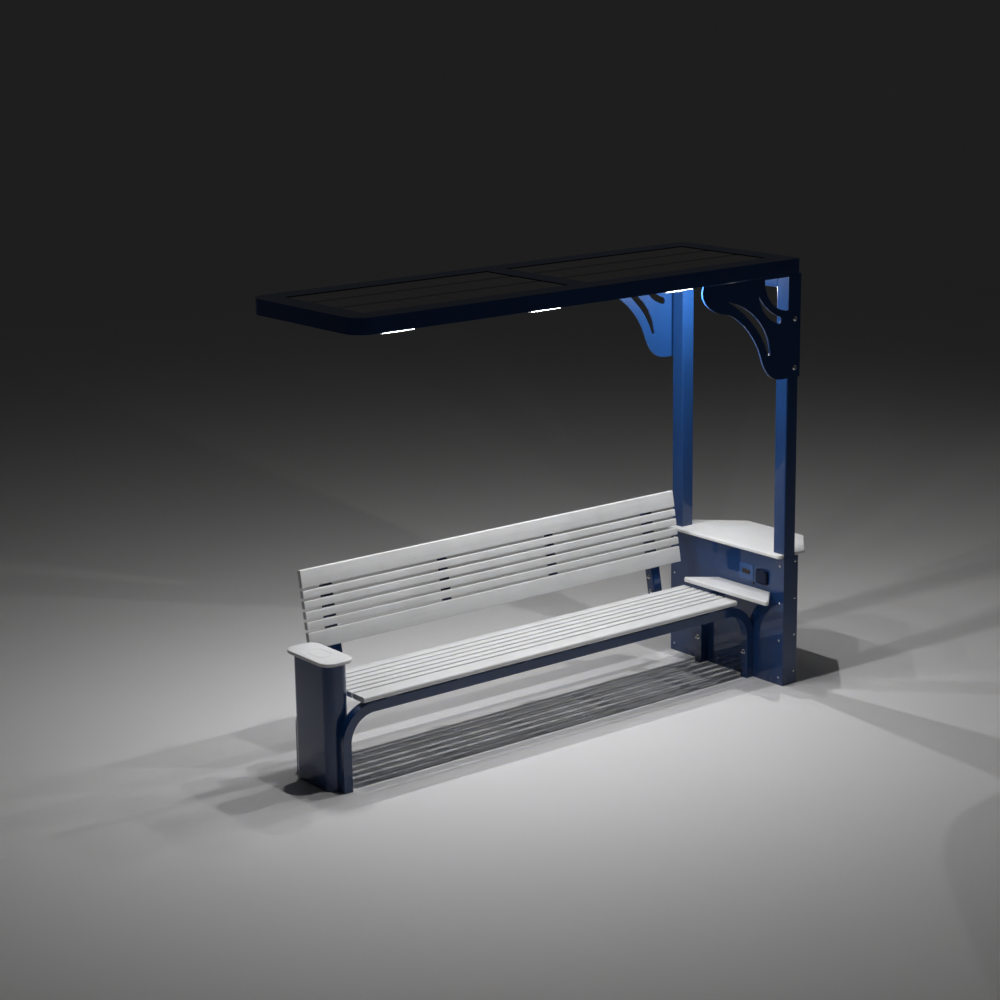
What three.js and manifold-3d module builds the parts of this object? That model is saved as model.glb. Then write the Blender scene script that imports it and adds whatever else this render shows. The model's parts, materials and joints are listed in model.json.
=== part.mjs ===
// A solar charging bench. A slatted seat and backrest stand on two bent-tube frames. A pedestal with a
// wireless charging plate closes the left end. A service cabinet stands at the right end, and its two
// posts carry a cantilevered canopy with two solar panels and three light bars.
//
// Millimetres, +Z up. Every size below is measured in the bench's own axes: x runs along the seat with
// zero on the seat side of the cabinet's posts, y runs from the front of the posts to the back, and z
// starts at the floor. The last lines move the whole bench so that its box is centred over the origin.

import * as THREE from "three";
import { mergeVertices } from "three/addons/utils/BufferGeometryUtils.js";
import Module from "manifold-3d";

// Fits
const clearance = 0.3; // between pieces that are cut to each other
const runningFit = 0.1; // around pins and barrels that turn
const overrun = 2; // how far a cutter passes the face that it opens
const sheet = 3; // steel sheet of the cabinet and the pedestal
const turn = Math.PI * 2;

// Service cabinet and its posts
const post = { side: 85, wall: 4, corner: 8, height: 2288 };
const cabinet = { span: 900, reach: 340, endWidth: 104, farWidth: 364, height: 730 };
const crossBeam = { height: 80 };
const basePlate = { thickness: 6, anchorRadius: 8, anchorInset: 40, cableRadius: 30 };
const counter = {
  thickness: 20,
  seatOverhang: 42,
  diagonalOverhang: 41,
  farSpread: 25,
  farOverhang: 45,
  corner: 22,
  edge: 6,
};
const shelf = {
  top: 520,
  thickness: 25,
  reach: 160,
  backLength: 405,
  freeLength: 690,
  centre: 303,
  corner: 14,
  edge: 5,
};
const doorFrame = { thickness: 20, rail: 33, footGap: 28 };
const door = { edgeFold: 15, lap: 4, swingGap: 2 };
const coverReturn = 28; // fold of the side covers onto the cabinet's far face
const hinge = {
  radius: 8,
  pinRadius: 4,
  length: 30,
  lugWidth: 14,
  lowHeight: 120,
  highHeight: 560,
};
const lock = {
  height: 370,
  inset: 22,
  barrelRadius: 9,
  flangeRadius: 13,
  flangeThickness: 4,
  camLength: 40,
  camWidth: 14,
  camThickness: 3,
  camGap: 1,
  keyLength: 12,
  keyWidth: 2,
  keyDepth: 2,
};

// Equipment in the cabinet
const battery = { length: 330, width: 172, height: 205, terminalSide: 16, terminalHeight: 10 };
const table = { height: 300, start: 90, depth: 205, length: 420 };
const controller = { length: 190, width: 120, height: 55, rib: 8, ribHeight: 12 };
const inverter = { length: 170, width: 150, height: 80, rib: 8, ribHeight: 10 };
const equipmentGap = 12;
const batteryStart = 106;

// Charging points on the seat-side panel
const usbPlate = { width: 108, height: 90, thickness: 3, corner: 8, across: 286, up: 600 };
const usbModule = {
  width: 60,
  height: 27,
  proud: 2,
  corner: 6,
  bodyWidth: 52,
  bodyHeight: 21,
  bodyDepth: 40,
  portWidth: 14,
  portHeight: 6,
  portDepth: 14,
  portPitch: 24,
};
const outlet = {
  width: 84,
  height: 80,
  proud: 14,
  corner: 10,
  across: 158,
  up: 594,
  bodyRadius: 27,
  bodyDepth: 30,
  recessRadius: 22,
  recessDepth: 20,
  lugWidth: 6,
  lugHeight: 10,
  barrelRadius: 4,
  barrelLength: 50,
  pinRadius: 1.5,
};
const flap = { thickness: 3, margin: 3, lip: 6, lipThickness: 3 };
const button = {
  across: 229,
  up: 542,
  radius: 7,
  proud: 6,
  collarRadius: 10,
  collarThickness: 2,
  travel: 3,
};

// Canopy
const canopy = {
  length: 2872,
  depth: 920,
  thickness: 80,
  wall: 4,
  border: 130,
  leftCorner: 100,
  rightCorner: 25,
  windowCorner: 10,
};
const divider = { width: 125, webSpread: 70 };
const panel = { thickness: 30, lap: 18, ledge: 3 };
const junctionBox = { length: 110, width: 90, height: 24 };
const lightBar = { length: 180, width: 22, height: 10, edge: 3, start: 167, pitch: 884, inset: 34 };
const bracket = { thickness: 10, reach: 623, drop: 557, windowRadius: 178, windowTop: 12, windowSide: 6 };

// Seat and backrest
const tube = { side: 50, wall: 3, corner: 5, outerBend: 190 };
const frame = { length: 2773, front: 225, depth: 419 };
const seat = { height: 470, length: 2510, endGap: 143, front: 210 };
const slat = { thickness: 28, gap: 13, narrow: 40, edge: 5, nose: 13 };
const seatWidths = [100, slat.narrow, slat.narrow, slat.narrow, slat.narrow, slat.narrow, 56];
const backWidths = [88, slat.narrow, slat.narrow, slat.narrow, slat.narrow, 92];
const strap = { width: 60, thickness: 10, count: 6 };
const back = { front: 669, foot: 602, lean: 10.2 };
const supportInset = 172; // from a seat end to the middle of the outer supports
const upright = { footHeight: 400, topGap: 14 };
const ear = { thickness: 6, top: 650 };
const cleat = { thickness: 20, endGap: 10 };

// Pedestal
const pedestal = { width: 134, corner: 50, height: 649, centre: -2757 };
const armPlate = { width: 184, length: 380, corner: 65, thickness: 18, edge: 5 };
const charger = { length: 150, width: 92, height: 9, ringWidth: 4, ringDepth: 1.5 };

// Finishes
const finish = {
  blue: new THREE.MeshStandardMaterial({ color: 0x16407c, roughness: 0.28, metalness: 0.1 }),
  white: new THREE.MeshStandardMaterial({ color: 0xe4e5e3, roughness: 0.5, metalness: 0 }),
  steel: new THREE.MeshStandardMaterial({ color: 0xb4b6b8, roughness: 0.35, metalness: 1 }),
  aluminium: new THREE.MeshStandardMaterial({ color: 0x9a9da0, roughness: 0.4, metalness: 1 }),
  black: new THREE.MeshStandardMaterial({ color: 0x141416, roughness: 0.5, metalness: 0 }),
  cells: new THREE.MeshStandardMaterial({ color: 0x1a1c22, roughness: 0.1, metalness: 0 }),
  light: new THREE.MeshStandardMaterial({ color: 0xffffff, roughness: 0.3, metalness: 0 }),
};

const bench = new THREE.Group();

function addPiece(name, geometry, material, parent = bench) {
  const piece = new THREE.Mesh(geometry, material);
  piece.name = name;
  parent.add(piece);
  return piece;
}

// Solids: three.js geometry in and out of the boolean library
const wasm = await Module();
wasm.setup();

function solidOf(geometry) {
  const bare = geometry.clone();
  bare.deleteAttribute("normal");
  bare.deleteAttribute("uv");
  const merged = mergeVertices(bare);
  return new wasm.Manifold(
    new wasm.Mesh({
      numProp: 3,
      vertProperties: merged.attributes.position.array,
      triVerts: new Uint32Array(merged.index.array),
    }),
  );
}

function geometryOf(solid) {
  const mesh = solid.getMesh();
  const geometry = new THREE.BufferGeometry();
  geometry.setAttribute("position", new THREE.BufferAttribute(mesh.vertProperties, 3));
  geometry.setIndex(new THREE.BufferAttribute(mesh.triVerts, 1));
  geometry.computeVertexNormals();
  return geometry;
}

function join(...geometries) {
  return geometryOf(geometries.map(solidOf).reduce((whole, next) => whole.add(next)));
}

function cut(geometry, ...cutters) {
  return geometryOf(cutters.map(solidOf).reduce((left, next) => left.subtract(next), solidOf(geometry)));
}

// Shapes and prisms
function block(xFrom, xTo, yFrom, yTo, zFrom, zTo) {
  const box = new THREE.BoxGeometry(xTo - xFrom, yTo - yFrom, zTo - zFrom);
  return box.translate((xFrom + xTo) / 2, (yFrom + yTo) / 2, (zFrom + zTo) / 2);
}

// A closed outline through corners of [across, up, radius], with each corner rounded by its radius.
function outline(corners) {
  const shape = new THREE.Shape();
  const points = corners.map(([across, up]) => new THREE.Vector2(across, up));
  points.forEach((here, i) => {
    const radius = corners[i][2] ?? 0;
    const toBefore = points.at(i - 1).clone().sub(here).normalize();
    const toAfter = points[(i + 1) % points.length].clone().sub(here).normalize();
    if (!radius) {
      if (i) shape.lineTo(here.x, here.y);
      else shape.moveTo(here.x, here.y);
      return;
    }
    const half = Math.acos(toBefore.dot(toAfter)) / 2;
    const inward = toBefore.clone().add(toAfter).normalize();
    const centre = here.clone().addScaledVector(inward, radius / Math.sin(half));
    const start = here.clone().addScaledVector(toBefore, radius / Math.tan(half)).sub(centre);
    const end = here.clone().addScaledVector(toAfter, radius / Math.tan(half)).sub(centre);
    const clockwise = toBefore.cross(toAfter) > 0;
    shape.absarc(centre.x, centre.y, radius, start.angle(), end.angle(), clockwise);
  });
  shape.closePath();
  return shape;
}

function rectangle(xFrom, xTo, yFrom, yTo, radius) {
  return outline([
    [xFrom, yFrom, radius],
    [xTo, yFrom, radius],
    [xTo, yTo, radius],
    [xFrom, yTo, radius],
  ]);
}

function withHole(shape, hole) {
  shape.holes.push(hole);
  return shape;
}

// Corners of a counterclockwise plan with its edges moved out, one distance for each edge.
function grow(corners, distances) {
  const edges = corners.map(([x, y], i) => {
    const [nextX, nextY] = corners[(i + 1) % corners.length];
    const normal = new THREE.Vector2(nextY - y, x - nextX).normalize();
    return { normal, offset: normal.x * x + normal.y * y + distances[i] };
  });
  return corners.map((_, i) => {
    const one = edges.at(i - 1);
    const two = edges[i];
    const area = one.normal.cross(two.normal);
    return [
      (one.offset * two.normal.y - two.offset * one.normal.y) / area,
      (two.offset * one.normal.x - one.offset * two.normal.x) / area,
    ];
  });
}

// An outline in plan, raised by its height.
function rise(shape, zFrom, height, curveSegments = 6) {
  const solid = new THREE.ExtrudeGeometry(shape, { depth: height, bevelEnabled: false, curveSegments });
  return solid.translate(0, 0, zFrom);
}

// A slab in plan whose upper and lower edges are rounded by the edge radius.
function slab(shape, zFrom, height, edge, curveSegments = 6) {
  const solid = new THREE.ExtrudeGeometry(shape, {
    depth: height - 2 * edge,
    bevelThickness: edge,
    bevelSize: edge,
    bevelOffset: -edge,
    bevelSegments: 2,
    curveSegments,
  });
  return solid.translate(0, 0, zFrom + edge);
}

// An outline in x and z, given its thickness along y.
function plateAlongY(shape, yFrom, thickness, curveSegments = 6) {
  const solid = new THREE.ExtrudeGeometry(shape, { depth: thickness, bevelEnabled: false, curveSegments });
  return solid.rotateX(turn / 4).translate(0, yFrom + thickness, 0);
}

// An outline in y and z, given its thickness along x.
const yAndZFirst = new THREE.Matrix4().makeBasis(
  new THREE.Vector3(0, 1, 0),
  new THREE.Vector3(0, 0, 1),
  new THREE.Vector3(1, 0, 0),
);
function plateAlongX(shape, xFrom, thickness, curveSegments = 6) {
  const solid = new THREE.ExtrudeGeometry(shape, { depth: thickness, bevelEnabled: false, curveSegments });
  return solid.applyMatrix4(yAndZFirst).translate(xFrom, 0, 0);
}

function rod(radius, length, sides = 24) {
  return new THREE.CylinderGeometry(radius, radius, length, sides);
}
function rodAlongX(radius, xFrom, xTo, y, z) {
  return rod(radius, xTo - xFrom).rotateZ(turn / 4).translate((xFrom + xTo) / 2, y, z);
}
function rodAlongY(radius, yFrom, yTo, x, z, sides) {
  return rod(radius, yTo - yFrom, sides).translate(x, (yFrom + yTo) / 2, z);
}
function rodAlongZ(radius, zFrom, zTo, x, y) {
  return rod(radius, zTo - zFrom).rotateX(turn / 4).translate(x, y, (zFrom + zTo) / 2);
}

function tubeSection(side, wall, corner) {
  const half = side / 2;
  const inner = half - wall;
  return withHole(
    rectangle(-half, half, -half, half, corner),
    rectangle(-inner, inner, -inner, inner, corner - wall / 2),
  );
}

// Plan of the cabinet's inside faces, counterclockwise from the front corner on the seat side.
const farStart = (cabinet.span - cabinet.farWidth) / 2;
const farEnd = (cabinet.span + cabinet.farWidth) / 2;
const plan = [
  [0, 0],
  [cabinet.endWidth, 0],
  [cabinet.reach, farStart],
  [cabinet.reach, farEnd],
  [cabinet.endWidth, cabinet.span],
  [0, cabinet.span],
];
const postStarts = [0, cabinet.span - post.side];
const middle = cabinet.span / 2;
const counterTop = cabinet.height + counter.thickness;

function addPosts() {
  const names = ["post_front", "post_rear"];
  postStarts.forEach((start, i) => {
    const section = tubeSection(post.side, post.wall, post.corner);
    const column = rise(section, 0, post.height, 3);
    column.translate(post.side / 2, start + post.side / 2, 0);
    addPiece(names[i], column, finish.blue);
  });

  const beam = plateAlongY(
    tubeSection(crossBeam.height, post.wall, post.corner),
    post.side,
    cabinet.span - 2 * post.side,
    3,
  );
  beam.translate(post.side / 2, 0, post.height - crossBeam.height / 2);
  addPiece("cross_beam", beam, finish.blue);
}

function postCutters(zFrom, zTo) {
  return postStarts.map((start) =>
    block(
      -clearance,
      post.side + clearance,
      start - clearance,
      start + post.side + clearance,
      zFrom - overrun,
      zTo + overrun,
    ),
  );
}

function addBasePlate() {
  const inside = grow(plan, plan.map(() => -clearance));
  const xNear = post.side + basePlate.anchorInset;
  const xFar = cabinet.reach - basePlate.anchorInset;
  const anchors = [
    [xNear, post.side + basePlate.anchorInset],
    [xNear, cabinet.span - post.side - basePlate.anchorInset],
    [xFar, farStart + basePlate.anchorInset],
    [xFar, farEnd - basePlate.anchorInset],
  ];
  const top = basePlate.thickness + overrun;
  const plate = cut(
    rise(outline(inside), 0, basePlate.thickness),
    ...postCutters(0, basePlate.thickness),
    ...anchors.map(([x, y]) => rodAlongZ(basePlate.anchorRadius, -overrun, top, x, y)),
    rodAlongZ(basePlate.cableRadius, -overrun, top, batteryStart - basePlate.cableRadius, middle),
  );
  addPiece("cabinet_base_plate", plate, finish.steel);
}

// Sheet skins of the cabinet
const skinFace = -sheet; // outer face of the seat-side panel
function addSeatSidePanel() {
  const skin = block(skinFace, 0, -sheet, cabinet.span + sheet, 0, cabinet.height);
  const usbHole = block(
    skinFace - overrun,
    overrun,
    usbPlate.across - usbModule.bodyWidth / 2 - clearance,
    usbPlate.across + usbModule.bodyWidth / 2 + clearance,
    usbPlate.up - usbModule.bodyHeight / 2 - clearance,
    usbPlate.up + usbModule.bodyHeight / 2 + clearance,
  );
  const outletHole = rodAlongX(
    outlet.bodyRadius + clearance,
    skinFace - overrun,
    overrun,
    outlet.across,
    outlet.up,
  );
  const buttonHole = rodAlongX(
    button.radius + clearance,
    skinFace - overrun,
    overrun,
    button.across,
    button.up,
  );
  addPiece("cabinet_seat_panel", cut(skin, usbHole, outletHole, buttonHole), finish.blue);
}

function addSideCovers() {
  const outer = grow(plan, plan.map(() => sheet));
  const front = outline([
    [0, 0],
    [0, -sheet],
    outer[1],
    outer[2],
    [cabinet.reach + sheet, farStart + coverReturn],
    [cabinet.reach, farStart + coverReturn],
    plan[2],
    plan[1],
  ]);
  addPiece("cabinet_cover_front", rise(front, 0, cabinet.height), finish.blue);

  const rear = outline([
    [0, cabinet.span],
    plan[4],
    plan[3],
    [cabinet.reach, farEnd - coverReturn],
    [cabinet.reach + sheet, farEnd - coverReturn],
    outer[3],
    outer[4],
    [0, cabinet.span + sheet],
  ]);
  addPiece("cabinet_cover_rear", rise(rear, 0, cabinet.height), finish.blue);
}

// Door frame, door, its lift-off hinges and its cam lock on the cabinet's far face
const frameFace = cabinet.reach - clearance;
const frameBack = frameFace - doorFrame.thickness;
const openingFront = farStart + doorFrame.rail;
const openingRear = farEnd - doorFrame.rail;
const openingFoot = basePlate.thickness + clearance + doorFrame.footGap;
const openingHead = cabinet.height - clearance - doorFrame.footGap;
const hingeX = cabinet.reach + sheet + hinge.radius + clearance;
const hingeY = farEnd - coverReturn - sheet;

function addDoorFrame() {
  const ring = cut(
    block(
      frameBack,
      frameFace,
      farStart + 2 * clearance,
      farEnd - 2 * clearance,
      basePlate.thickness + clearance,
      cabinet.height - clearance,
    ),
    block(
      frameBack - overrun,
      frameFace + overrun,
      openingFront,
      openingRear,
      openingFoot,
      openingHead,
    ),
  );
  addPiece("door_frame", ring, finish.blue);
}

function addDoor() {
  const leafFront = openingFront - door.lap;
  const leafRear = openingRear + door.lap - 2 * clearance;
  const leaf = block(
    cabinet.reach,
    cabinet.reach + sheet,
    leafFront,
    leafRear,
    openingFoot - door.lap,
    openingHead + door.lap,
  );
  const foldFront = openingFront + door.swingGap;
  const foldRear = openingRear - door.swingGap;
  const foldFoot = openingFoot + door.swingGap;
  const foldHead = openingHead - door.swingGap;
  const fold = cut(
    block(
      cabinet.reach - door.edgeFold,
      cabinet.reach,
      foldFront,
      foldRear,
      foldFoot,
      foldHead,
    ),
    block(
      cabinet.reach - door.edgeFold - overrun,
      cabinet.reach + overrun,
      foldFront + sheet,
      foldRear - sheet,
      foldFoot + sheet,
      foldHead - sheet,
    ),
  );
  const knuckles = [hinge.lowHeight, hinge.highHeight].flatMap((height) => [
    rodAlongZ(hinge.radius, height + clearance, height + hinge.length, hingeX, hingeY),
    block(
      cabinet.reach + clearance,
      hingeX,
      hingeY - hinge.radius,
      hingeY - sheet,
      height + clearance,
      height + hinge.length,
    ),
  ]);
  const bores = [hinge.lowHeight, hinge.highHeight].map((height) =>
    rodAlongZ(
      hinge.pinRadius + runningFit,
      height - overrun,
      height + hinge.length + overrun,
      hingeX,
      hingeY,
    ),
  );
  const lockHole = rodAlongX(
    lock.barrelRadius + runningFit,
    cabinet.reach - overrun,
    cabinet.reach + sheet + overrun,
    lockY,
    lock.height,
  );
  addPiece("cabinet_door", cut(join(leaf, fold, ...knuckles), ...bores, lockHole), finish.blue);
}

function addHinges() {
  const heights = { hinge_lower: hinge.lowHeight, hinge_upper: hinge.highHeight };
  for (const [name, height] of Object.entries(heights)) {
    const foot = height - hinge.length;
    const lugStart = hingeY + sheet + clearance;
    const fixed = join(
      rodAlongZ(hinge.radius, foot, height, hingeX, hingeY),
      block(
        cabinet.reach + sheet,
        hingeX + hinge.radius / 2,
        lugStart,
        lugStart + hinge.lugWidth,
        foot,
        height,
      ),
      block(hingeX - hinge.radius / 2, hingeX + hinge.radius / 2, hingeY, lugStart + sheet, foot, height),
      rodAlongZ(hinge.pinRadius, foot, height + hinge.length, hingeX, hingeY),
    );
    addPiece(name, fixed, finish.steel);
  }
}

const lockY = openingFront + lock.inset;
function addLock() {
  const camFace = frameBack - lock.camGap;
  const camBack = camFace - lock.camThickness;
  const flangeStart = cabinet.reach + sheet + clearance;
  const flangeEnd = flangeStart + lock.flangeThickness;
  const turned = join(
    rodAlongX(lock.barrelRadius, camBack, flangeEnd, lockY, lock.height),
    rodAlongX(lock.flangeRadius, flangeStart, flangeEnd, lockY, lock.height),
    block(
      camBack,
      camFace,
      lockY - lock.camWidth / 2,
      lockY + lock.camWidth / 2,
      lock.height - lock.camLength,
      lock.height,
    ),
  );
  const keyway = block(
    flangeEnd - lock.keyDepth,
    flangeEnd + overrun,
    lockY - lock.keyWidth / 2,
    lockY + lock.keyWidth / 2,
    lock.height - lock.keyLength / 2,
    lock.height + lock.keyLength / 2,
  );
  addPiece("door_lock", cut(turned, keyway), finish.steel);
}

function addCounter() {
  const overhangs = [
    0,
    counter.diagonalOverhang,
    counter.farOverhang,
    counter.diagonalOverhang,
    0,
    counter.seatOverhang,
  ];
  const spread = plan.map(([x, y]) => {
    const isFar = x === cabinet.reach;
    return [x, isFar ? y + Math.sign(y - middle) * counter.farSpread : y];
  });
  const corners = grow(spread, overhangs).map((corner) => [...corner, counter.corner]);
  const top = cut(
    slab(outline(corners), cabinet.height, counter.thickness, counter.edge, 4),
    ...postCutters(cabinet.height, counterTop),
  );
  addPiece("counter_top", top, finish.white);
}

function addShelf() {
  const corners = [
    [skinFace, shelf.centre - shelf.backLength / 2],
    [skinFace, shelf.centre + shelf.backLength / 2],
    [-shelf.reach, shelf.centre + shelf.freeLength / 2, shelf.corner],
    [-shelf.reach, shelf.centre - shelf.freeLength / 2, shelf.corner],
  ];
  const board = slab(outline(corners), shelf.top - shelf.thickness, shelf.thickness, shelf.edge, 5);
  addPiece("side_shelf", board, finish.white);
}

// Battery on the base plate, and a bent-sheet table over it for the controller and the inverter
function addEquipment() {
  const floor = basePlate.thickness;
  const batteryFoot = floor + clearance;
  const batteryFront = middle - battery.length / 2;
  const terminals = [-1, 1].map((side) => {
    const y = middle + (side * (battery.length - 4 * battery.terminalSide)) / 2;
    return block(
      batteryStart + battery.terminalSide,
      batteryStart + 2 * battery.terminalSide,
      y - battery.terminalSide / 2,
      y + battery.terminalSide / 2,
      batteryFoot,
      batteryFoot + battery.height + battery.terminalHeight,
    );
  });
  const body = block(
    batteryStart,
    batteryStart + battery.width,
    batteryFront,
    batteryFront + battery.length,
    batteryFoot,
    batteryFoot + battery.height,
  );
  addPiece("battery", join(body, ...terminals), finish.black);

  const tableFront = middle - table.length / 2;
  const stand = cut(
    block(
      table.start,
      table.start + table.depth,
      tableFront,
      tableFront + table.length,
      floor + clearance,
      table.height,
    ),
    block(
      table.start - overrun,
      table.start + table.depth + overrun,
      tableFront + sheet,
      tableFront + table.length - sheet,
      0,
      table.height - sheet,
    ),
  );
  addPiece("equipment_table", stand, finish.steel);

  addCooledBox("charge_controller", controller, tableFront + equipmentGap, 5);
  addCooledBox("inverter", inverter, tableFront + table.length - equipmentGap - inverter.length, 5);
}

// A box with cooling ribs along its top.
function addCooledBox(name, box, yFrom, ribs) {
  const zFrom = table.height + clearance;
  const xFrom = table.start + equipmentGap;
  const body = block(xFrom, xFrom + box.width, yFrom, yFrom + box.length, zFrom, zFrom + box.height);
  const pitch = box.width / ribs;
  const fins = Array.from({ length: ribs }, (_, i) => {
    const start = xFrom + pitch * i + (pitch - box.rib) / 2;
    const top = zFrom + box.height + box.ribHeight;
    return block(start, start + box.rib, yFrom, yFrom + box.length, zFrom + sheet, top);
  });
  addPiece(name, join(body, ...fins), finish.aluminium);
}

// Charging points: a plate with two sockets, a mains outlet under a spring flap, and a push button
function addUsb() {
  const plateFace = skinFace - usbPlate.thickness;
  const plate = cut(
    plateAlongX(
      rectangle(
        usbPlate.across - usbPlate.width / 2,
        usbPlate.across + usbPlate.width / 2,
        usbPlate.up - usbPlate.height / 2,
        usbPlate.up + usbPlate.height / 2,
        usbPlate.corner,
      ),
      plateFace,
      usbPlate.thickness,
      3,
    ),
    block(
      plateFace - overrun,
      overrun,
      usbPlate.across - usbModule.bodyWidth / 2 - clearance,
      usbPlate.across + usbModule.bodyWidth / 2 + clearance,
      usbPlate.up - usbModule.bodyHeight / 2 - clearance,
      usbPlate.up + usbModule.bodyHeight / 2 + clearance,
    ),
  );
  addPiece("usb_plate", plate, finish.blue);

  const moduleFace = plateFace - usbModule.proud;
  const rim = plateAlongX(
    rectangle(
      usbPlate.across - usbModule.width / 2,
      usbPlate.across + usbModule.width / 2,
      usbPlate.up - usbModule.height / 2,
      usbPlate.up + usbModule.height / 2,
      usbModule.corner,
    ),
    moduleFace,
    usbModule.proud,
    3,
  );
  const body = block(
    moduleFace + usbModule.proud / 2,
    moduleFace + usbModule.bodyDepth,
    usbPlate.across - usbModule.bodyWidth / 2,
    usbPlate.across + usbModule.bodyWidth / 2,
    usbPlate.up - usbModule.bodyHeight / 2,
    usbPlate.up + usbModule.bodyHeight / 2,
  );
  const ports = [-1, 1].map((side) => {
    const y = usbPlate.across + (side * usbModule.portPitch) / 2;
    return block(
      moduleFace - overrun,
      moduleFace + usbModule.portDepth,
      y - usbModule.portWidth / 2,
      y + usbModule.portWidth / 2,
      usbPlate.up - usbModule.portHeight / 2,
      usbPlate.up + usbModule.portHeight / 2,
    );
  });
  addPiece("usb_socket", cut(join(rim, body), ...ports), finish.black);
}

const outletFace = skinFace - outlet.proud;
const flapBarrelX = outletFace - clearance - outlet.barrelRadius;
const flapBarrelZ = outlet.up + outlet.height / 2 - outlet.barrelRadius;
function addOutlet() {
  const half = outlet.width / 2;
  const shell = plateAlongX(
    rectangle(
      outlet.across - half,
      outlet.across + half,
      outlet.up - outlet.height / 2,
      outlet.up + outlet.height / 2,
      outlet.corner,
    ),
    outletFace,
    outlet.proud,
    4,
  );
  const body = rodAlongX(
    outlet.bodyRadius,
    skinFace - outlet.proud / 2,
    outlet.bodyDepth,
    outlet.across,
    outlet.up,
  );
  const lugs = [-1, 1].map((side) => {
    const y = outlet.across + side * (outlet.barrelLength / 2 + clearance + outlet.lugWidth / 2);
    return block(
      flapBarrelX - outlet.barrelRadius,
      outletFace + outlet.proud / 2,
      y - outlet.lugWidth / 2,
      y + outlet.lugWidth / 2,
      flapBarrelZ - outlet.lugHeight / 2,
      flapBarrelZ + outlet.lugHeight / 2,
    );
  });
  const recess = rodAlongX(
    outlet.recessRadius,
    outletFace - overrun,
    outletFace + outlet.recessDepth,
    outlet.across,
    outlet.up,
  );
  const pinReach = (outlet.barrelLength + outlet.lugWidth) / 2;
  const pin = rodAlongY(
    outlet.pinRadius,
    outlet.across - pinReach,
    outlet.across + pinReach,
    flapBarrelX,
    flapBarrelZ,
    12,
  );
  addPiece("mains_outlet", join(cut(join(shell, body, ...lugs), recess), pin), finish.black);

  const leafBack = outletFace - clearance;
  const leafTop = flapBarrelZ - Math.hypot(outlet.barrelRadius, outlet.lugHeight / 2) - clearance;
  const leafFoot = outlet.up - outlet.height / 2 + flap.margin;
  const leaf = block(
    leafBack - flap.thickness,
    leafBack,
    outlet.across - half + flap.margin,
    outlet.across + half - flap.margin,
    leafFoot,
    leafTop,
  );
  const barrelStart = outlet.across - outlet.barrelLength / 2;
  const barrelEnd = outlet.across + outlet.barrelLength / 2;
  const barrel = rodAlongY(outlet.barrelRadius, barrelStart, barrelEnd, flapBarrelX, flapBarrelZ);
  const neck = block(leafBack - flap.thickness, leafBack, barrelStart, barrelEnd, leafFoot, flapBarrelZ);
  const lip = block(
    leafBack - flap.thickness - flap.lip,
    leafBack,
    barrelStart,
    barrelEnd,
    leafFoot,
    leafFoot + flap.lipThickness,
  );
  const bore = rodAlongY(
    outlet.pinRadius + runningFit,
    barrelStart - overrun,
    barrelEnd + overrun,
    flapBarrelX,
    flapBarrelZ,
    12,
  );
  addPiece("outlet_flap", cut(join(leaf, neck, barrel, lip), bore), finish.black);
}

function addButton() {
  const collarStart = button.travel / 2;
  const pushed = join(
    rodAlongX(button.radius, skinFace - button.proud, collarStart, button.across, button.up),
    rodAlongX(
      button.collarRadius,
      clearance,
      clearance + button.collarThickness,
      button.across,
      button.up,
    ),
  );
  addPiece("light_button", pushed, finish.black);
}

// Canopy: a channel-section frame with a divider, two solar panels under its rim, and light bars
const canopyRight = post.side;
const canopyLeft = canopyRight - canopy.length;
const canopyFront = middle - canopy.depth / 2;
const canopyRear = middle + canopy.depth / 2;
const canopyTop = post.height + canopy.thickness;
const windowFront = canopyFront + canopy.border;
const windowRear = canopyRear - canopy.border;
const canopyMiddle = (canopyLeft + canopyRight) / 2;
const panelTop = canopyTop - canopy.wall - clearance;
const ledgeTop = panelTop - panel.thickness - clearance;

function canopyOutline(inset, leftCorner, rightCorner) {
  return outline([
    [canopyLeft + inset, canopyFront + inset, leftCorner],
    [canopyRight - inset, canopyFront + inset, rightCorner],
    [canopyRight - inset, canopyRear - inset, rightCorner],
    [canopyLeft + inset, canopyRear - inset, leftCorner],
  ]);
}

function addCanopyFrame() {
  const outside = () => canopyOutline(0, canopy.leftCorner, canopy.rightCorner);
  const inside = canopyOutline(
    canopy.wall,
    canopy.leftCorner - canopy.wall,
    canopy.rightCorner - canopy.wall,
  );
  const window = () => canopyOutline(canopy.border, canopy.windowCorner, canopy.windowCorner);
  const flangeTop = canopyTop - canopy.wall;
  const ring = join(
    rise(withHole(outside(), inside), post.height, canopy.thickness, 6),
    rise(withHole(outside(), window()), post.height, canopy.wall, 6),
    rise(withHole(outside(), window()), flangeTop, canopy.wall, 6),
    rise(withHole(outside(), window()), ledgeTop - panel.ledge, panel.ledge, 6),
  );
  addPiece("canopy_frame", ring, finish.blue);
}

function addDivider() {
  const yFrom = windowFront + clearance;
  const yTo = windowRear - clearance;
  const halfWidth = divider.width / 2;
  const top = block(
    canopyMiddle - halfWidth,
    canopyMiddle + halfWidth,
    yFrom,
    yTo,
    canopyTop - canopy.wall,
    canopyTop,
  );
  const webs = [-1, 1].map((side) => {
    const x = canopyMiddle + (side * divider.webSpread) / 2;
    return block(x - canopy.wall / 2, x + canopy.wall / 2, yFrom, yTo, post.height, canopyTop - sheet);
  });
  const foot = block(
    canopyMiddle - divider.webSpread / 2,
    canopyMiddle + divider.webSpread / 2,
    yFrom,
    yTo,
    post.height,
    post.height + canopy.wall,
  );
  const ledge = block(
    canopyMiddle - halfWidth,
    canopyMiddle + halfWidth,
    yFrom,
    yTo,
    ledgeTop - panel.ledge,
    ledgeTop,
  );
  addPiece("canopy_divider", join(top, ...webs, foot, ledge), finish.blue);
}

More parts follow.
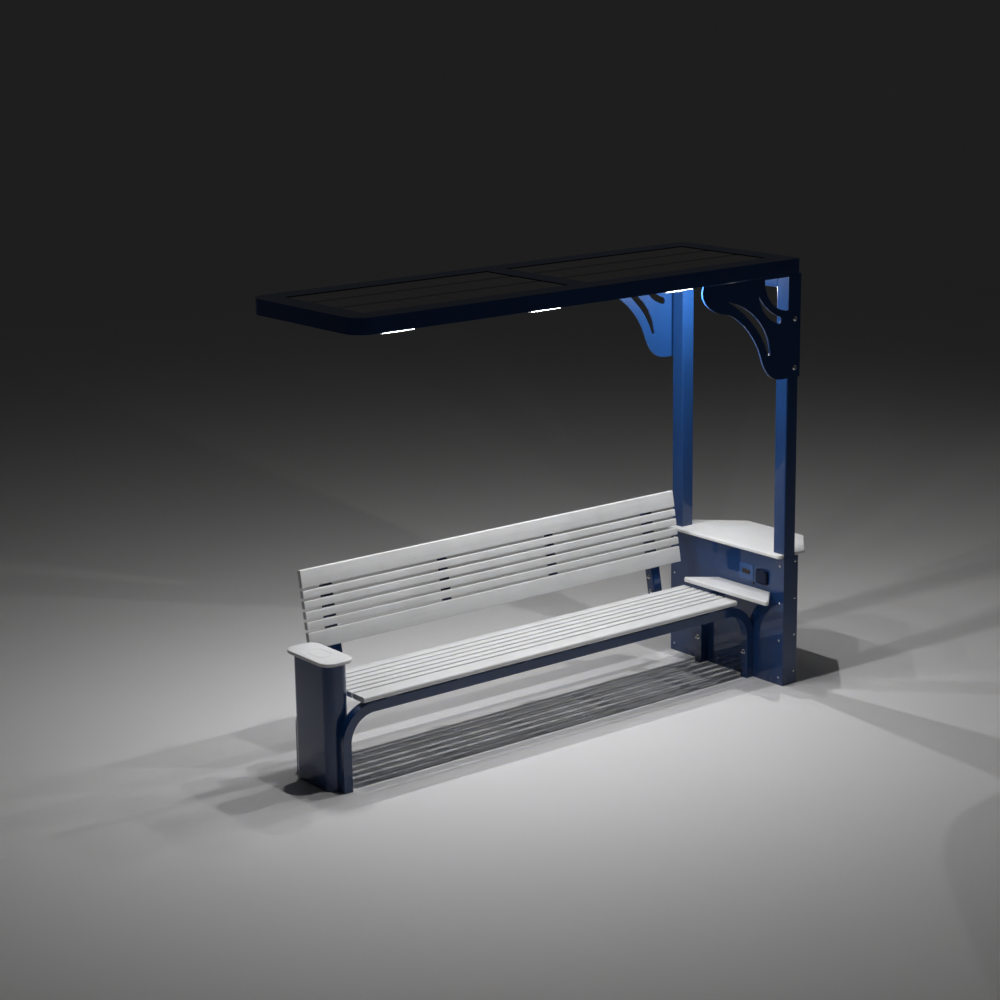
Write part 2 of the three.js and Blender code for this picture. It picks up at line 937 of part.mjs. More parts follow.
function addSolarPanels() {
  const bays = {
    left: [canopyLeft + canopy.border, canopyMiddle - divider.width / 2],
    right: [canopyMiddle + divider.width / 2, canopyRight - canopy.border],
  };
  for (const [side, [start, end]] of Object.entries(bays)) {
    const laminate = block(
      start - panel.lap,
      end + panel.lap,
      windowFront - panel.lap,
      windowRear + panel.lap,
      panelTop - panel.thickness,
      panelTop,
    );
    addPiece(`solar_panel_${side}`, laminate, finish.cells);

    const centre = (start + end) / 2;
    const boxTop = panelTop - panel.thickness - clearance;
    const junction = block(
      centre - junctionBox.length / 2,
      centre + junctionBox.length / 2,
      windowRear - 2 * junctionBox.width,
      windowRear - junctionBox.width,
      boxTop - junctionBox.height,
      boxTop,
    );
    addPiece(`junction_box_${side}`, junction, finish.black);
  }
}

// A bar along x from the origin, rounded below and flat on top, where it meets what carries it.
function lightBarSolid() {
  const half = lightBar.width / 2;
  const tube = plateAlongX(
    rectangle(-half, half, -lightBar.height, lightBar.edge, lightBar.edge),
    0,
    lightBar.length,
    2,
  );
  const above = block(
    -overrun,
    lightBar.length + overrun,
    -half - overrun,
    half + overrun,
    -clearance,
    lightBar.height,
  );
  return cut(tube, above);
}

function addLightBars() {
  const fromEdge = lightBar.inset + lightBar.width / 2;
  const rows = { front: canopyFront + fromEdge, rear: canopyRear - fromEdge };
  for (const [row, y] of Object.entries(rows)) {
    ["left", "middle", "right"].forEach((place, i) => {
      const start = canopyLeft + lightBar.start + lightBar.pitch * i;
      const bar = lightBarSolid().translate(start, y, post.height);
      addPiece(`light_bar_${row}_${place}`, bar, finish.light);
    });
  }

  const underBeam = lightBarSolid().rotateZ(turn / 4);
  underBeam.translate(post.side / 2, middle - lightBar.length / 2, post.height - crossBeam.height);
  addPiece("light_bar_beam", underBeam, finish.light);
}

// Bracket plates: points are shares of the reach along the canopy and of the drop below it
const bracketEdgeShares = [
  [1.0, 0.0],
  [1.06, 0.13],
  [0.93, 0.27],
  [0.717, 0.298],
  [0.59, 0.345],
  [0.39, 0.54],
  [0.328, 0.768],
  [0.28, 0.92],
  [0.205, 1.0],
  [0.08, 1.0],
];
const longSlotShares = [
  [0.717, 0.178],
  [0.5, 0.235],
  [0.25, 0.42],
  [0.221, 0.72],
  [0.222, 0.755],
  [0.25, 0.755],
  [0.256, 0.725],
  [0.32, 0.52],
  [0.48, 0.33],
];
const shortSlotShares = [
  [0.366, 0.16],
  [0.31, 0.27],
  [0.2, 0.36],
  [0.104, 0.395],
  [0.085, 0.41],
  [0.095, 0.455],
  [0.118, 0.459],
  [0.24, 0.42],
  [0.34, 0.33],
];

function addBrackets() {
  const at = ([across, down]) => [-bracket.reach * across, post.height - bracket.drop * down];
  const curveThrough = (path, one, two, end) => path.bezierCurveTo(...at(one), ...at(two), ...at(end));
  const slotPath = (shares) => {
    const path = new THREE.Path();
    path.moveTo(...at(shares[0]));
    curveThrough(path, shares[1], shares[2], shares[3]);
    curveThrough(path, shares[4], shares[5], shares[6]);
    curveThrough(path, shares[7], shares[8], shares[0]);
    return path;
  };
  const edge = new THREE.Shape();
  edge.moveTo(...at(bracketEdgeShares[0]));
  for (let i = 1; i < bracketEdgeShares.length; i += 3) {
    curveThrough(edge, bracketEdgeShares[i], bracketEdgeShares[i + 1], bracketEdgeShares[i + 2]);
  }
  edge.lineTo(post.side, post.height - bracket.drop);
  edge.lineTo(post.side, post.height - clearance);
  edge.lineTo(-bracket.reach, post.height - clearance);
  const window = new THREE.Path();
  const windowTop = post.height - bracket.windowTop;
  window.moveTo(-bracket.windowSide, windowTop);
  window.lineTo(-bracket.windowSide - bracket.windowRadius, windowTop);
  window.absarc(-bracket.windowSide, windowTop, bracket.windowRadius, turn / 2, (turn * 3) / 4, false);
  edge.holes.push(slotPath(longSlotShares), slotPath(shortSlotShares), window);
  const plate = () => new THREE.ExtrudeGeometry(edge, {
    depth: bracket.thickness,
    bevelEnabled: false,
    curveSegments: 7,
  });
  const frontPlate = plate().rotateX(turn / 4);
  const rearPlate = plate().rotateX(turn / 4).translate(0, cabinet.span + bracket.thickness, 0);
  addPiece("bracket_front", frontPlate, finish.blue);
  addPiece("bracket_rear", rearPlate, finish.blue);
}

// Seat: two bent-tube frames, straps welded to the rear one, and seven slats
const frameRight = skinFace - clearance;
const frameLeft = frameRight - frame.length;
const seatRight = -seat.endGap;
const seatLeft = seatRight - seat.length;
const strapTop = seat.height - slat.thickness;
const beamTop = strapTop - strap.thickness;
const rearTube = frame.front + frame.depth - tube.side;
const supportStart = seatLeft + supportInset;
const supportPitch = (seat.length - 2 * supportInset) / 3;
const supports = [0, 1, 2, 3].map((i) => supportStart + supportPitch * i);

function archOutline(inset) {
  const bend = tube.outerBend - inset;
  const innerBend = tube.outerBend - tube.side + inset;
  const foot = inset ? -overrun : 0;
  const left = frameLeft + inset;
  const right = frameRight - inset;
  const legInner = tube.side - inset;
  return outline([
    [left, foot],
    [frameLeft + legInner, foot],
    [frameLeft + legInner, beamTop - legInner, innerBend],
    [frameRight - legInner, beamTop - legInner, innerBend],
    [frameRight - legInner, foot],
    [right, foot],
    [right, beamTop - inset, bend],
    [left, beamTop - inset, bend],
  ]);
}

function arch(yFrom) {
  return cut(
    plateAlongY(archOutline(0), yFrom, tube.side, 8),
    plateAlongY(archOutline(tube.wall), yFrom + tube.wall, tube.side - 2 * tube.wall, 8),
  );
}

// Backrest line: its front face leans back from the foot of the lowest slat
const lean = (back.lean * turn) / 360;
const backDepthAt = (height, behind) =>
  back.front + behind / Math.cos(lean) + (height - back.foot) * Math.tan(lean);

function earAt(x, foot) {
  const near = slat.thickness + clearance;
  const far = near + tube.side;
  return plateAlongX(
    outline([
      [rearTube + tube.side - sheet, foot],
      [backDepthAt(foot, far), foot],
      [backDepthAt(ear.top, far), ear.top],
      [backDepthAt(ear.top, near), ear.top],
      [backDepthAt(strapTop, near), strapTop],
      [rearTube + tube.side - sheet, beamTop - sheet],
    ]),
    x,
    ear.thickness,
  );
}

function addSeatFrames() {
  addPiece("seat_frame_front", arch(frame.front), finish.blue);
  const outside = tube.side / 2 + clearance;
  const ears = [supports[0], supports[3]].flatMap((x) => [
    earAt(x - outside - ear.thickness, beamTop - tube.side),
    earAt(x + outside, beamTop - tube.side),
  ]);
  const strapPitch = (supports[3] - supports[0]) / (strap.count - 1);
  const straps = Array.from({ length: strap.count }, (_, i) => {
    const xFrom = supports[0] + strapPitch * i - strap.width / 2;
    const xTo = xFrom + strap.width;
    const yTo = frame.front + frame.depth;
    return join(
      block(xFrom, xTo, frame.front, yTo, beamTop, strapTop),
      block(xFrom, xTo, rearTube + tube.corner, yTo - tube.corner, beamTop - tube.wall / 2, strapTop),
    );
  });
  addPiece("seat_frame_rear", join(arch(rearTube), ...ears, ...straps), finish.blue);
}

// A slat's section, across its width and through its thickness, with a rounder front where asked.
function slatSection(start, width, face, thickness, frontRadius) {
  return outline([
    [start, face - thickness, frontRadius],
    [start + width, face - thickness, slat.edge],
    [start + width, face, slat.edge],
    [start, face, frontRadius],
  ]);
}

function addSeatSlats() {
  let start = seat.front;
  seatWidths.forEach((width, i) => {
    const front = i ? slat.edge : slat.nose;
    const section = slatSection(start, width, seat.height, slat.thickness, front);
    addPiece(`seat_slat_${i + 1}`, plateAlongX(section, seatLeft, seat.length, 4), finish.white);
    start += width + slat.gap;
  });
}

function addBackrest() {
  const backrest = new THREE.Group();
  backrest.position.set(0, back.front, back.foot);
  backrest.rotation.x = -lean;
  bench.add(backrest);

  let start = 0;
  backWidths.forEach((width, i) => {
    const section = outline([
      [0, start, slat.edge],
      [slat.thickness, start, slat.edge],
      [slat.thickness, start + width, slat.edge],
      [0, start + width, slat.edge],
    ]);
    const board = plateAlongX(section, seatLeft, seat.length, 3);
    addPiece(`back_slat_${i + 1}`, board, finish.white, backrest);
    start += width + slat.gap;
  });
  const backHeight = start - slat.gap;

  const behind = slat.thickness + clearance;
  const footDrop = (back.foot - upright.footHeight) / Math.cos(lean);
  const uprights = { upright_left: supports[0], upright_right: supports[3] };
  for (const [name, x] of Object.entries(uprights)) {
    const length = footDrop + backHeight - upright.topGap;
    const column = rise(tubeSection(tube.side, tube.wall, tube.corner), -footDrop, length, 3);
    column.translate(x, behind + tube.side / 2, 0);
    addPiece(name, column, finish.blue, backrest);
  }
  const cleats = { back_cleat_left: supports[1], back_cleat_right: supports[2] };
  for (const [name, x] of Object.entries(cleats)) {
    const batten = block(
      x - tube.side / 2,
      x + tube.side / 2,
      behind,
      behind + cleat.thickness,
      cleat.endGap,
      backHeight - cleat.endGap,
    );
    addPiece(name, batten, finish.blue, backrest);
  }
}

// Pedestal: a rounded sheet column on an anchor plate, an arm plate and a charging coil under it
const pedestalMiddle = frame.front + frame.depth / 2;
const pedestalLength = frame.depth - 2 * tube.side - 2 * clearance;
function addPedestal() {
  const around = (width, length, corner) =>
    rectangle(
      pedestal.centre - width / 2,
      pedestal.centre + width / 2,
      pedestalMiddle - length / 2,
      pedestalMiddle + length / 2,
      corner,
    );
  const inset = 2 * sheet;
  const outside = () => around(pedestal.width, pedestalLength, pedestal.corner);
  const wall = withHole(
    outside(),
    around(pedestal.width - inset, pedestalLength - inset, pedestal.corner - sheet),
  );
  const anchorReach = pedestalLength / 2 - pedestal.corner - basePlate.anchorRadius;
  const anchors = [-1, 1].map((side) =>
    rodAlongZ(
      basePlate.anchorRadius,
      -overrun,
      basePlate.thickness + overrun,
      pedestal.centre,
      pedestalMiddle + side * anchorReach,
    ),
  );
  const footPlate = rise(outside(), 0, basePlate.thickness, 8);
  const column = cut(join(rise(wall, 0, pedestal.height, 8), footPlate), ...anchors);
  addPiece("pedestal_column", column, finish.blue);

  const armTop = pedestal.height + armPlate.thickness;
  const ring = around(charger.width, charger.length, charger.width / 2);
  const core = around(
    charger.width - 2 * charger.ringWidth,
    charger.length - 2 * charger.ringWidth,
    charger.width / 2 - charger.ringWidth,
  );
  const pocket = around(charger.width, charger.length, charger.width / 2);
  const arm = cut(
    slab(
      around(armPlate.width, armPlate.length, armPlate.corner),
      pedestal.height,
      armPlate.thickness,
      armPlate.edge,
      6,
    ),
    rise(withHole(ring, core), armTop - charger.ringDepth, charger.ringDepth + overrun, 6),
    rise(pocket, pedestal.height - overrun, charger.height + overrun, 6),
  );
  addPiece("arm_plate", arm, finish.white);

  const coil = around(
    charger.width - 2 * clearance,
    charger.length - 2 * clearance,
    charger.width / 2 - clearance,
  );
  const coilHousing = rise(coil, pedestal.height, charger.height - clearance, 6);
  addPiece("wireless_charger", coilHousing, finish.black);
}

addPosts();
addBasePlate();
addSeatSidePanel();
addSideCovers();
addDoorFrame();
addDoor();
addHinges();
addLock();
addCounter();
addShelf();
addEquipment();
addUsb();
addOutlet();
addButton();
addCanopyFrame();
addDivider();
addSolarPanels();
addLightBars();
addBrackets();
addSeatFrames();
addSeatSlats();
addBackrest();
addPedestal();

// Centre the bench's box over the origin.
const centre = new THREE.Box3().setFromObject(bench, true).getCenter(new THREE.Vector3());
bench.position.set(-centre.x, -centre.y, 0);

const root = new THREE.Group();
root.add(bench);
export default root;
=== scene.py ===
"""The looks of a solar charging bench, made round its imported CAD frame.

Metres, in the frame's own axes: X runs along the seat towards the cabinet, Y from the front of the seat to
the backrest, and Z up from the floor. A piece takes its place from the boxes of the CAD nodes that carry it.
"""
import json
import math

import bmesh
import bpy
from mathutils import Matrix, Vector


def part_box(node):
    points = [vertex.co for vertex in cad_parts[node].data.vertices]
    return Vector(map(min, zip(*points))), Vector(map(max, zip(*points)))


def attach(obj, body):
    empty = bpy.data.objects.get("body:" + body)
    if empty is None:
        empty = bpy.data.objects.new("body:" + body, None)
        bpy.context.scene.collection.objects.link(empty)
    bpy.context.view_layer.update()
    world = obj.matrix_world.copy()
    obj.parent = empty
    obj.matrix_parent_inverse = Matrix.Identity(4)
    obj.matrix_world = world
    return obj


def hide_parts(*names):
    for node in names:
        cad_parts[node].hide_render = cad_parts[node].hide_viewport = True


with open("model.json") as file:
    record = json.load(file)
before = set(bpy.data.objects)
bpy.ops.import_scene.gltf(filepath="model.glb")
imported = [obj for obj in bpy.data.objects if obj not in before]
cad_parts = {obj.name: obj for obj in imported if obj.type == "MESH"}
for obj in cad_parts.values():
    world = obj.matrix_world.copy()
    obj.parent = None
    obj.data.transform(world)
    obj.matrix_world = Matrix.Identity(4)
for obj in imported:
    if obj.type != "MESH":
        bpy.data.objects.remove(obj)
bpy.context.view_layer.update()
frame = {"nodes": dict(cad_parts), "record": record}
nodes = frame["nodes"]
scene = bpy.context.scene
BODY_OF = {node: body for body, group in frame["record"]["behaviour"]["bodies"].items() for node in group}
SLOT_OF = {row["node"]: row["material_slot"] for row in frame["record"]["subparts"]}

# ---- Camera: where the photograph was taken from ----
CAMERA_PLACE = Vector((-7.4155, -8.9262, 4.0703))
CAMERA_AZIMUTH = math.radians(38.232)  # from +Y towards +X
CAMERA_DROP = math.radians(13.962)  # below the horizon
CAMERA_ROLL = math.radians(-0.865)
CAMERA_LENS = 82.374
CAMERA_SENSOR = 36.0
CAMERA_REACH = 400.0


def add_camera():
    """The photograph's camera."""
    camera = bpy.data.objects.new("camera", bpy.data.cameras.new("camera"))
    camera.data.sensor_width = CAMERA_SENSOR
    camera.data.lens = CAMERA_LENS
    camera.data.clip_end = CAMERA_REACH
    aim = (
        Matrix.Rotation(-CAMERA_AZIMUTH, 4, "Z")
        @ Matrix.Rotation(math.pi / 2 - CAMERA_DROP, 4, "X")
        @ Matrix.Rotation(CAMERA_ROLL, 4, "Z")
    )
    camera.matrix_world = Matrix.Translation(CAMERA_PLACE) @ aim
    scene.collection.objects.link(camera)
    scene.camera = camera


# ---- Finishes ----
NO_STRETCH = (1.0, 1.0, 1.0)
MIX_INPUTS = {"mask": 0, "first": 6, "second": 7}  # a Mix node's sockets when it mixes colours
MIX_RESULT = 2


class Signal:
    """A value in a finish's node tree. Arithmetic on it adds Math nodes."""

    def __init__(self, finish, socket):
        self.finish = finish
        self.socket = socket

    def math(self, operation, first, second=0.0):
        return self.finish.node("Math", {"operation": operation}, {0: first, 1: second})

    def __add__(self, other):
        return self.math("ADD", self, other)

    def __sub__(self, other):
        return self.math("SUBTRACT", self, other)

    def __rsub__(self, other):
        return self.math("SUBTRACT", other, self)

    def __mul__(self, other):
        return self.math("MULTIPLY", self, other)

    def __truediv__(self, other):
        return self.math("DIVIDE", self, other)

    def __gt__(self, other):
        return self.math("GREATER_THAN", self, other)

    def __lt__(self, other):
        return self.math("LESS_THAN", self, other)

    def fraction(self):
        return self.math("FRACT", self)

    def size(self):
        return self.math("ABSOLUTE", self)

    def clamped(self):
        return self.finish.node("Clamp", {}, {"Value": self})


class Finish:
    """A procedural material with its shader and the nodes of its pattern."""

    def __init__(self, name, slot, shader_values):
        self.slot = slot
        self.material = bpy.data.materials.new(name)
        self.material.use_nodes = True
        self.tree = self.material.node_tree
        self.shader = self.tree.nodes["Principled BSDF"]
        self.set(shader_values)
        self.place = self.node("TexCoord", output="Object")
        split = self.node("SeparateXYZ", {}, {0: self.place}).socket.node
        self.x, self.y, self.z = (Signal(self, socket) for socket in split.outputs)

    def node(self, kind, settings=None, sockets=None, output=0):
        """Adds a shader node and gives one of its outputs as a signal."""
        made = self.tree.nodes.new("ShaderNode" + kind)
        for setting, value in (settings or {}).items():
            setattr(made, setting, value)
        for socket, value in (sockets or {}).items():
            self.feed(made.inputs[socket], value)
        return Signal(self, made.outputs[output])

    def feed(self, socket, value):
        """Links a signal to a socket, or sets the socket to a plain value."""
        if isinstance(value, Signal):
            self.tree.links.new(value.socket, socket)
        else:
            socket.default_value = value

    def set(self, shader_values):
        for socket, value in shader_values.items():
            self.feed(self.shader.inputs[socket], value)

    def noise(self, scale, detail, stretch=NO_STRETCH):
        place = self.node("VectorMath", {"operation": "MULTIPLY"}, {0: self.place, 1: stretch})
        return self.node("TexNoise", {}, {"Vector": place, "Scale": scale, "Detail": detail})

    def blend(self, mask, first, second):
        sockets = {MIX_INPUTS["mask"]: mask, MIX_INPUTS["first"]: first, MIX_INPUTS["second"]: second}
        return self.node("Mix", {"data_type": "RGBA"}, sockets, output=MIX_RESULT)

    def range(self, mask, low, high):
        """Stretches 0 to 1 to low to high, without going past them."""
        return self.node("MapRange", {}, {"Value": mask, "To Min": low, "To Max": high})

    def bump(self, height, distance, strength):
        sockets = {"Height": height, "Distance": distance, "Strength": strength}
        self.set({"Normal": self.node("Bump", {}, sockets)})


def colour(red, green, blue):
    """An opaque colour in linear light."""
    return (red, green, blue, 1.0)


DUST = colour(0.19, 0.18, 0.165)
DUST_HEIGHT = 0.11
DUST_COVER = 0.4
# Lines on a solar cell: "half" is half a line's width as a part of the pitch
BUSBAR = {"pitch": 0.0235, "half": 0.025, "shine": 0.45}
FINGER = {"pitch": 0.0022, "half": 0.05, "shine": 0.16}
SILVER = colour(0.42, 0.42, 0.43)
DIODE_PITCH = 0.012


def gloss_paint(name, slot, deep, light):
    """Stoved gloss paint: a clear coat with a little orange peel, and dust where it meets the floor."""
    finish = Finish(name, slot, {"Coat Weight": 1.0, "Coat Roughness": 0.02, "Specular IOR Level": 0.12})
    cloud = finish.noise(scale=2.2, detail=3.0)
    fine = finish.noise(scale=160.0, detail=3.0)
    paint = finish.blend(finish.range(cloud, low=0.1, high=0.9), deep, light)
    low = (1.0 - finish.z / DUST_HEIGHT).clamped()
    specks = finish.range(finish.noise(scale=34.0, detail=5.0), low=-0.9, high=1.5).clamped()
    dust = low * low * specks * DUST_COVER
    finish.set({
        "Base Color": finish.blend(dust, paint, DUST),
        "Roughness": finish.range(fine, low=0.3, high=0.42) + dust * 0.4,
        "Coat Weight": 1.0 - dust * 1.6,
    })
    finish.bump(finish.noise(scale=230.0, detail=1.0), distance=0.00006, strength=0.25)
    return finish


def board(name, slot, tint, shade, stretch):
    """A through-coloured white board with a satin face and a faint brushed grain."""
    finish = Finish(name, slot, {"Coat Weight": 0.12, "Coat Roughness": 0.3})
    mottle = finish.noise(scale=5.0, detail=4.0)
    grain = finish.noise(scale=90.0, detail=4.0, stretch=stretch)
    specks = finish.noise(scale=700.0, detail=1.0)
    mixed = mottle * 0.5 + grain * 0.35 + specks * 0.15
    base = finish.blend(finish.range(mixed, low=-0.6, high=1.6).clamped(), shade, tint)
    finish.set({"Base Color": base, "Roughness": finish.range(grain, low=0.36, high=0.56)})
    finish.bump(grain * 0.6 + specks * 0.4, distance=0.00022, strength=0.4)
    return finish


def bare_metal(name, slot, tint, shade, stretch, rough):
    """Brushed or cast metal: fine lines along one axis and a soft cloud of handling marks."""
    finish = Finish(name, slot, {"Metallic": 1.0})
    lines = finish.noise(scale=260.0, detail=4.0, stretch=stretch)
    cloud = finish.noise(scale=14.0, detail=4.0)
    base = finish.blend(finish.range(lines * 0.6 + cloud * 0.4, low=-0.3, high=1.3).clamped(), shade, tint)
    finish.set({"Base Color": base, "Roughness": finish.range(cloud, low=rough - 0.08, high=rough + 0.1)})
    finish.bump(lines, distance=0.00006, strength=0.5)
    return finish


def moulded_plastic(name, tint, shade, rough=0.45, shine=0.5):
    """Moulded plastic with a spark-eroded grain."""
    finish = Finish(name, "black_plastic", {"Specular IOR Level": shine})
    grain = finish.noise(scale=1500.0, detail=2.0)
    cloud = finish.noise(scale=22.0, detail=3.0)
    finish.set({
        "Base Color": finish.blend(finish.range(cloud, low=0.1, high=0.9), shade, tint),
        "Roughness": finish.range(grain * 0.5 + cloud * 0.5, low=rough - 0.1, high=rough + 0.12),
    })
    finish.bump(grain, distance=0.00008, strength=0.6)
    return finish


def panel_back(name, slot):
    """The solar module between and under its cells: black above, white back sheet below."""
    finish = Finish(name, slot, {"Coat Weight": 1.0, "Coat Roughness": 0.04})
    facing = finish.node("NewGeometry", output="True Normal")
    up = finish.node("SeparateXYZ", {}, {0: facing}, output="Z")
    mottle = finish.range(finish.noise(scale=30.0, detail=3.0), low=0.0, high=1.0)
    above = finish.blend(mottle, colour(0.006, 0.006, 0.008), colour(0.012, 0.012, 0.014))
    below = finish.blend(mottle, colour(0.62, 0.63, 0.63), colour(0.7, 0.71, 0.7))
    finish.set({
        "Base Color": finish.blend(up > -0.5, below, above),
        "Roughness": finish.range(mottle, low=0.3, high=0.42),
    })
    return finish


def solar_cell(name, slot):
    """A silicon cell under glass: fine fingers across it and busbars along it, on a brown-grey that is partly
    painted sheen.
    """
    finish = Finish(name, slot, {"Coat Weight": 1.0, "Coat Roughness": 0.035})
    patch = finish.noise(scale=3.0, detail=2.0)
    grain = finish.noise(scale=240.0, detail=3.0)
    # The cell's own brown-grey tone, painted much lighter than a bare cell: the extra lightness is a painted
    # sheen.
    silicon = finish.blend(
        finish.range(patch * 0.6 + grain * 0.4, low=-0.2, high=1.2).clamped(),
        colour(0.125, 0.107, 0.093),
        colour(0.215, 0.186, 0.165),
    )
    busbar = ((finish.y / BUSBAR["pitch"]).fraction() - 0.5).size() < BUSBAR["half"]
    finger = ((finish.x / FINGER["pitch"]).fraction() - 0.5).size() < FINGER["half"]
    silver = (busbar * BUSBAR["shine"] + finger * FINGER["shine"]).clamped()
    finish.set({
        "Base Color": finish.blend(silver, silicon, SILVER),
        "Roughness": finish.range(grain, low=0.26, high=0.4),
    })
    finish.bump(grain, distance=0.00003, strength=0.3)
    return finish


def lit_diffuser(name, slot, strength):
    """A frosted white tube that glows, a little dimmer between its diodes."""
    finish = Finish(name, slot, {"Roughness": 0.4, "Emission Strength": strength})
    wave = ((finish.x / DIODE_PITCH).fraction() - 0.5).size()
    grain = finish.noise(scale=900.0, detail=2.0)
    glow = finish.blend(wave * 2.0, colour(1.0, 1.0, 1.0), colour(0.86, 0.9, 1.0))
    finish.set({
        "Base Color": finish.blend(grain, colour(0.8, 0.82, 0.86), colour(0.9, 0.91, 0.93)),
        "Emission Color": glow,
    })
    return finish


blue = gloss_paint(
    "blue_gloss_paint", "blue_paint", deep=colour(0.0062, 0.032, 0.112), light=colour(0.009, 0.042, 0.145)
)
# The USB plate's paint is a lighter copy of the blue gloss paint: its lighter blue is a painted reflection.
plate_blue_painted_reflection = gloss_paint(
    "plate_gloss_paint", "blue_paint", deep=colour(0.012, 0.062, 0.2), light=colour(0.016, 0.075, 0.24)
)
slat_white = board(
    "slat_board",
    "white_board",
    tint=colour(0.82, 0.825, 0.82),
    shade=colour(0.66, 0.665, 0.66),
    stretch=(0.05, 1.0, 1.0),
)
top_white = board(
    "top_board",
    "white_board",
    tint=colour(0.84, 0.845, 0.84),
    shade=colour(0.72, 0.725, 0.72),
    stretch=NO_STRETCH,
)
steel = bare_metal(
    "brushed_steel",
    "steel",
    tint=colour(0.66, 0.67, 0.68),
    shade=colour(0.42, 0.43, 0.44),
    stretch=(0.06, 1.0, 1.0),
    rough=0.3,
)
bolt_steel = bare_metal(
    "bolt_steel",
    "steel",
    tint=colour(0.82, 0.83, 0.84),
    shade=colour(0.6, 0.61, 0.62),
    stretch=NO_STRETCH,
    rough=0.22,
)
zinc = bare_metal(
    "zinc_plate",
    "steel",
    tint=colour(0.3, 0.3, 0.31),
    shade=colour(0.16, 0.16, 0.17),
    stretch=NO_STRETCH,
    rough=0.5,
)
aluminium = bare_metal(
    "cast_aluminium",
    "aluminium",
    tint=colour(0.5, 0.51, 0.52),
    shade=colour(0.34, 0.35, 0.36),
    stretch=NO_STRETCH,
    rough=0.45,
)
black = moulded_plastic(
    "black_plastic", tint=colour(0.022, 0.022, 0.025), shade=colour(0.01, 0.01, 0.012)
)
navy = moulded_plastic(
    "navy_plastic",
    tint=colour(0.009, 0.016, 0.045),
    shade=colour(0.006, 0.01, 0.03),
    rough=0.4,
    shine=0.15,
)
grey = moulded_plastic("grey_plastic", tint=colour(0.3, 0.31, 0.32), shade=colour(0.2, 0.21, 0.22))
red = moulded_plastic("red_plastic", tint=colour(0.45, 0.02, 0.015), shade=colour(0.28, 0.012, 0.01))
amber = moulded_plastic(
    "amber_plastic", tint=colour(0.62, 0.2, 0.07), shade=colour(0.4, 0.11, 0.04), rough=0.35
)
module_back = panel_back("module_back_sheet", "solar_glass")
cell = solar_cell("solar_cell", "solar_glass")
diffuser = lit_diffuser("light_diffuser", "light_diffuser", strength=4.0)

FINISH_OF_SLOT = {
    "blue_paint": blue,
    "white_board": slat_white,
    "steel": steel,
    "aluminium": aluminium,
    "black_plastic": black,
    "solar_glass": module_back,
    "light_diffuser": diffuser,
}
FINISH_OF_NODE = {
    **{node: top_white for node in ("counter_top", "side_shelf", "arm_plate")},
    "cabinet_base_plate": zinc,
    "equipment_table": zinc,
    "usb_plate": plate_blue_painted_reflection,
    "mains_outlet": navy,
    "outlet_flap": navy,
}
EDGE_OF_SLOT = {
    "blue_paint": 0.0012,
    "white_board": 0.0012,
    "steel": 0.0006,
    "aluminium": 0.0008,
    "black_plastic": 0.0005,
}

# ---- Meshes ----
CREASE = math.radians(32)  # a sharper edge is shaded and rounded as an edge
FLAT = math.radians(0.5)  # triangles that bend less than this are joined
WELD = 1e-6
EDGE_SEGMENTS = 2


def shade(mesh):
    """Smooth shading, broken where faces meet at a crease."""
    mesh.polygons.foreach_set("use_smooth", [True] * len(mesh.polygons))
    mesh.set_sharp_from_angle(angle=CREASE)


def show(name, mesh, finish, body="bench", edge=0.0):
    """Puts a mesh in the scene as a piece of the object that rides on a body."""
    mesh.materials.clear()
    mesh.materials.append(finish.material)
    shade(mesh)
    piece = bpy.data.objects.new(name, mesh)
    scene.collection.objects.link(piece)
    if edge:
        rounding = piece.modifiers.new("rounded_edges", "BEVEL")
        rounding.width = edge
        rounding.segments = EDGE_SEGMENTS
        rounding.limit_method = "ANGLE"
        rounding.angle_limit = CREASE
        rounding.harden_normals = True
    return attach(piece, body)


def mesh_from(name, shape):
    """Turns a bmesh into a mesh with its faces pointing out."""
    bmesh.ops.recalc_face_normals(shape, faces=shape.faces)
    mesh = bpy.data.meshes.new(name)
    shape.to_mesh(mesh)
    shape.free()
    return mesh


def finish_cad_nodes():
    """Shows each CAD node through a copy whose triangles are joined and whose sharp edges are rounded; a node
    whose slot has no edge width keeps its own mesh and only takes its finish.
    """
    for node, source in nodes.items():
        slot = SLOT_OF[node]
        finish = FINISH_OF_NODE.get(node, FINISH_OF_SLOT[slot])
        if slot not in EDGE_OF_SLOT:
            source.data.materials.clear()
            source.data.materials.append(finish.material)
            continue
        shape = bmesh.new()
        shape.from_mesh(source.data)
        bmesh.ops.remove_doubles(shape, verts=shape.verts, dist=WELD)
        bmesh.ops.dissolve_limit(shape, angle_limit=FLAT, verts=shape.verts, edges=shape.edges)
        mesh = bpy.data.meshes.new(node + ".finished")
        shape.to_mesh(mesh)
        shape.free()
        piece = show(node + ".finished", mesh, finish, BODY_OF[node], EDGE_OF_SLOT[slot])
        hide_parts(node)


def turned(name, profile, sides):
    """A solid of revolution about Z, from [radius, height] points that start and end on the axis."""
    shape = bmesh.new()
    rings = []
    for radius, height in profile:
        if radius == 0:
            rings.append([shape.verts.new((0, 0, height))])
            continue
        angles = (math.tau * i / sides for i in range(sides))
        rings.append([shape.verts.new((radius * math.cos(a), radius * math.sin(a), height)) for a in angles])
    for one, two in zip(rings, rings[1:]):
        for i in range(sides):
            corners = [one[i % len(one)], one[(i + 1) % len(one)], two[(i + 1) % len(two)], two[i % len(two)]]
            shape.faces.new(list(dict.fromkeys(corners)))
    return mesh_from(name, shape)


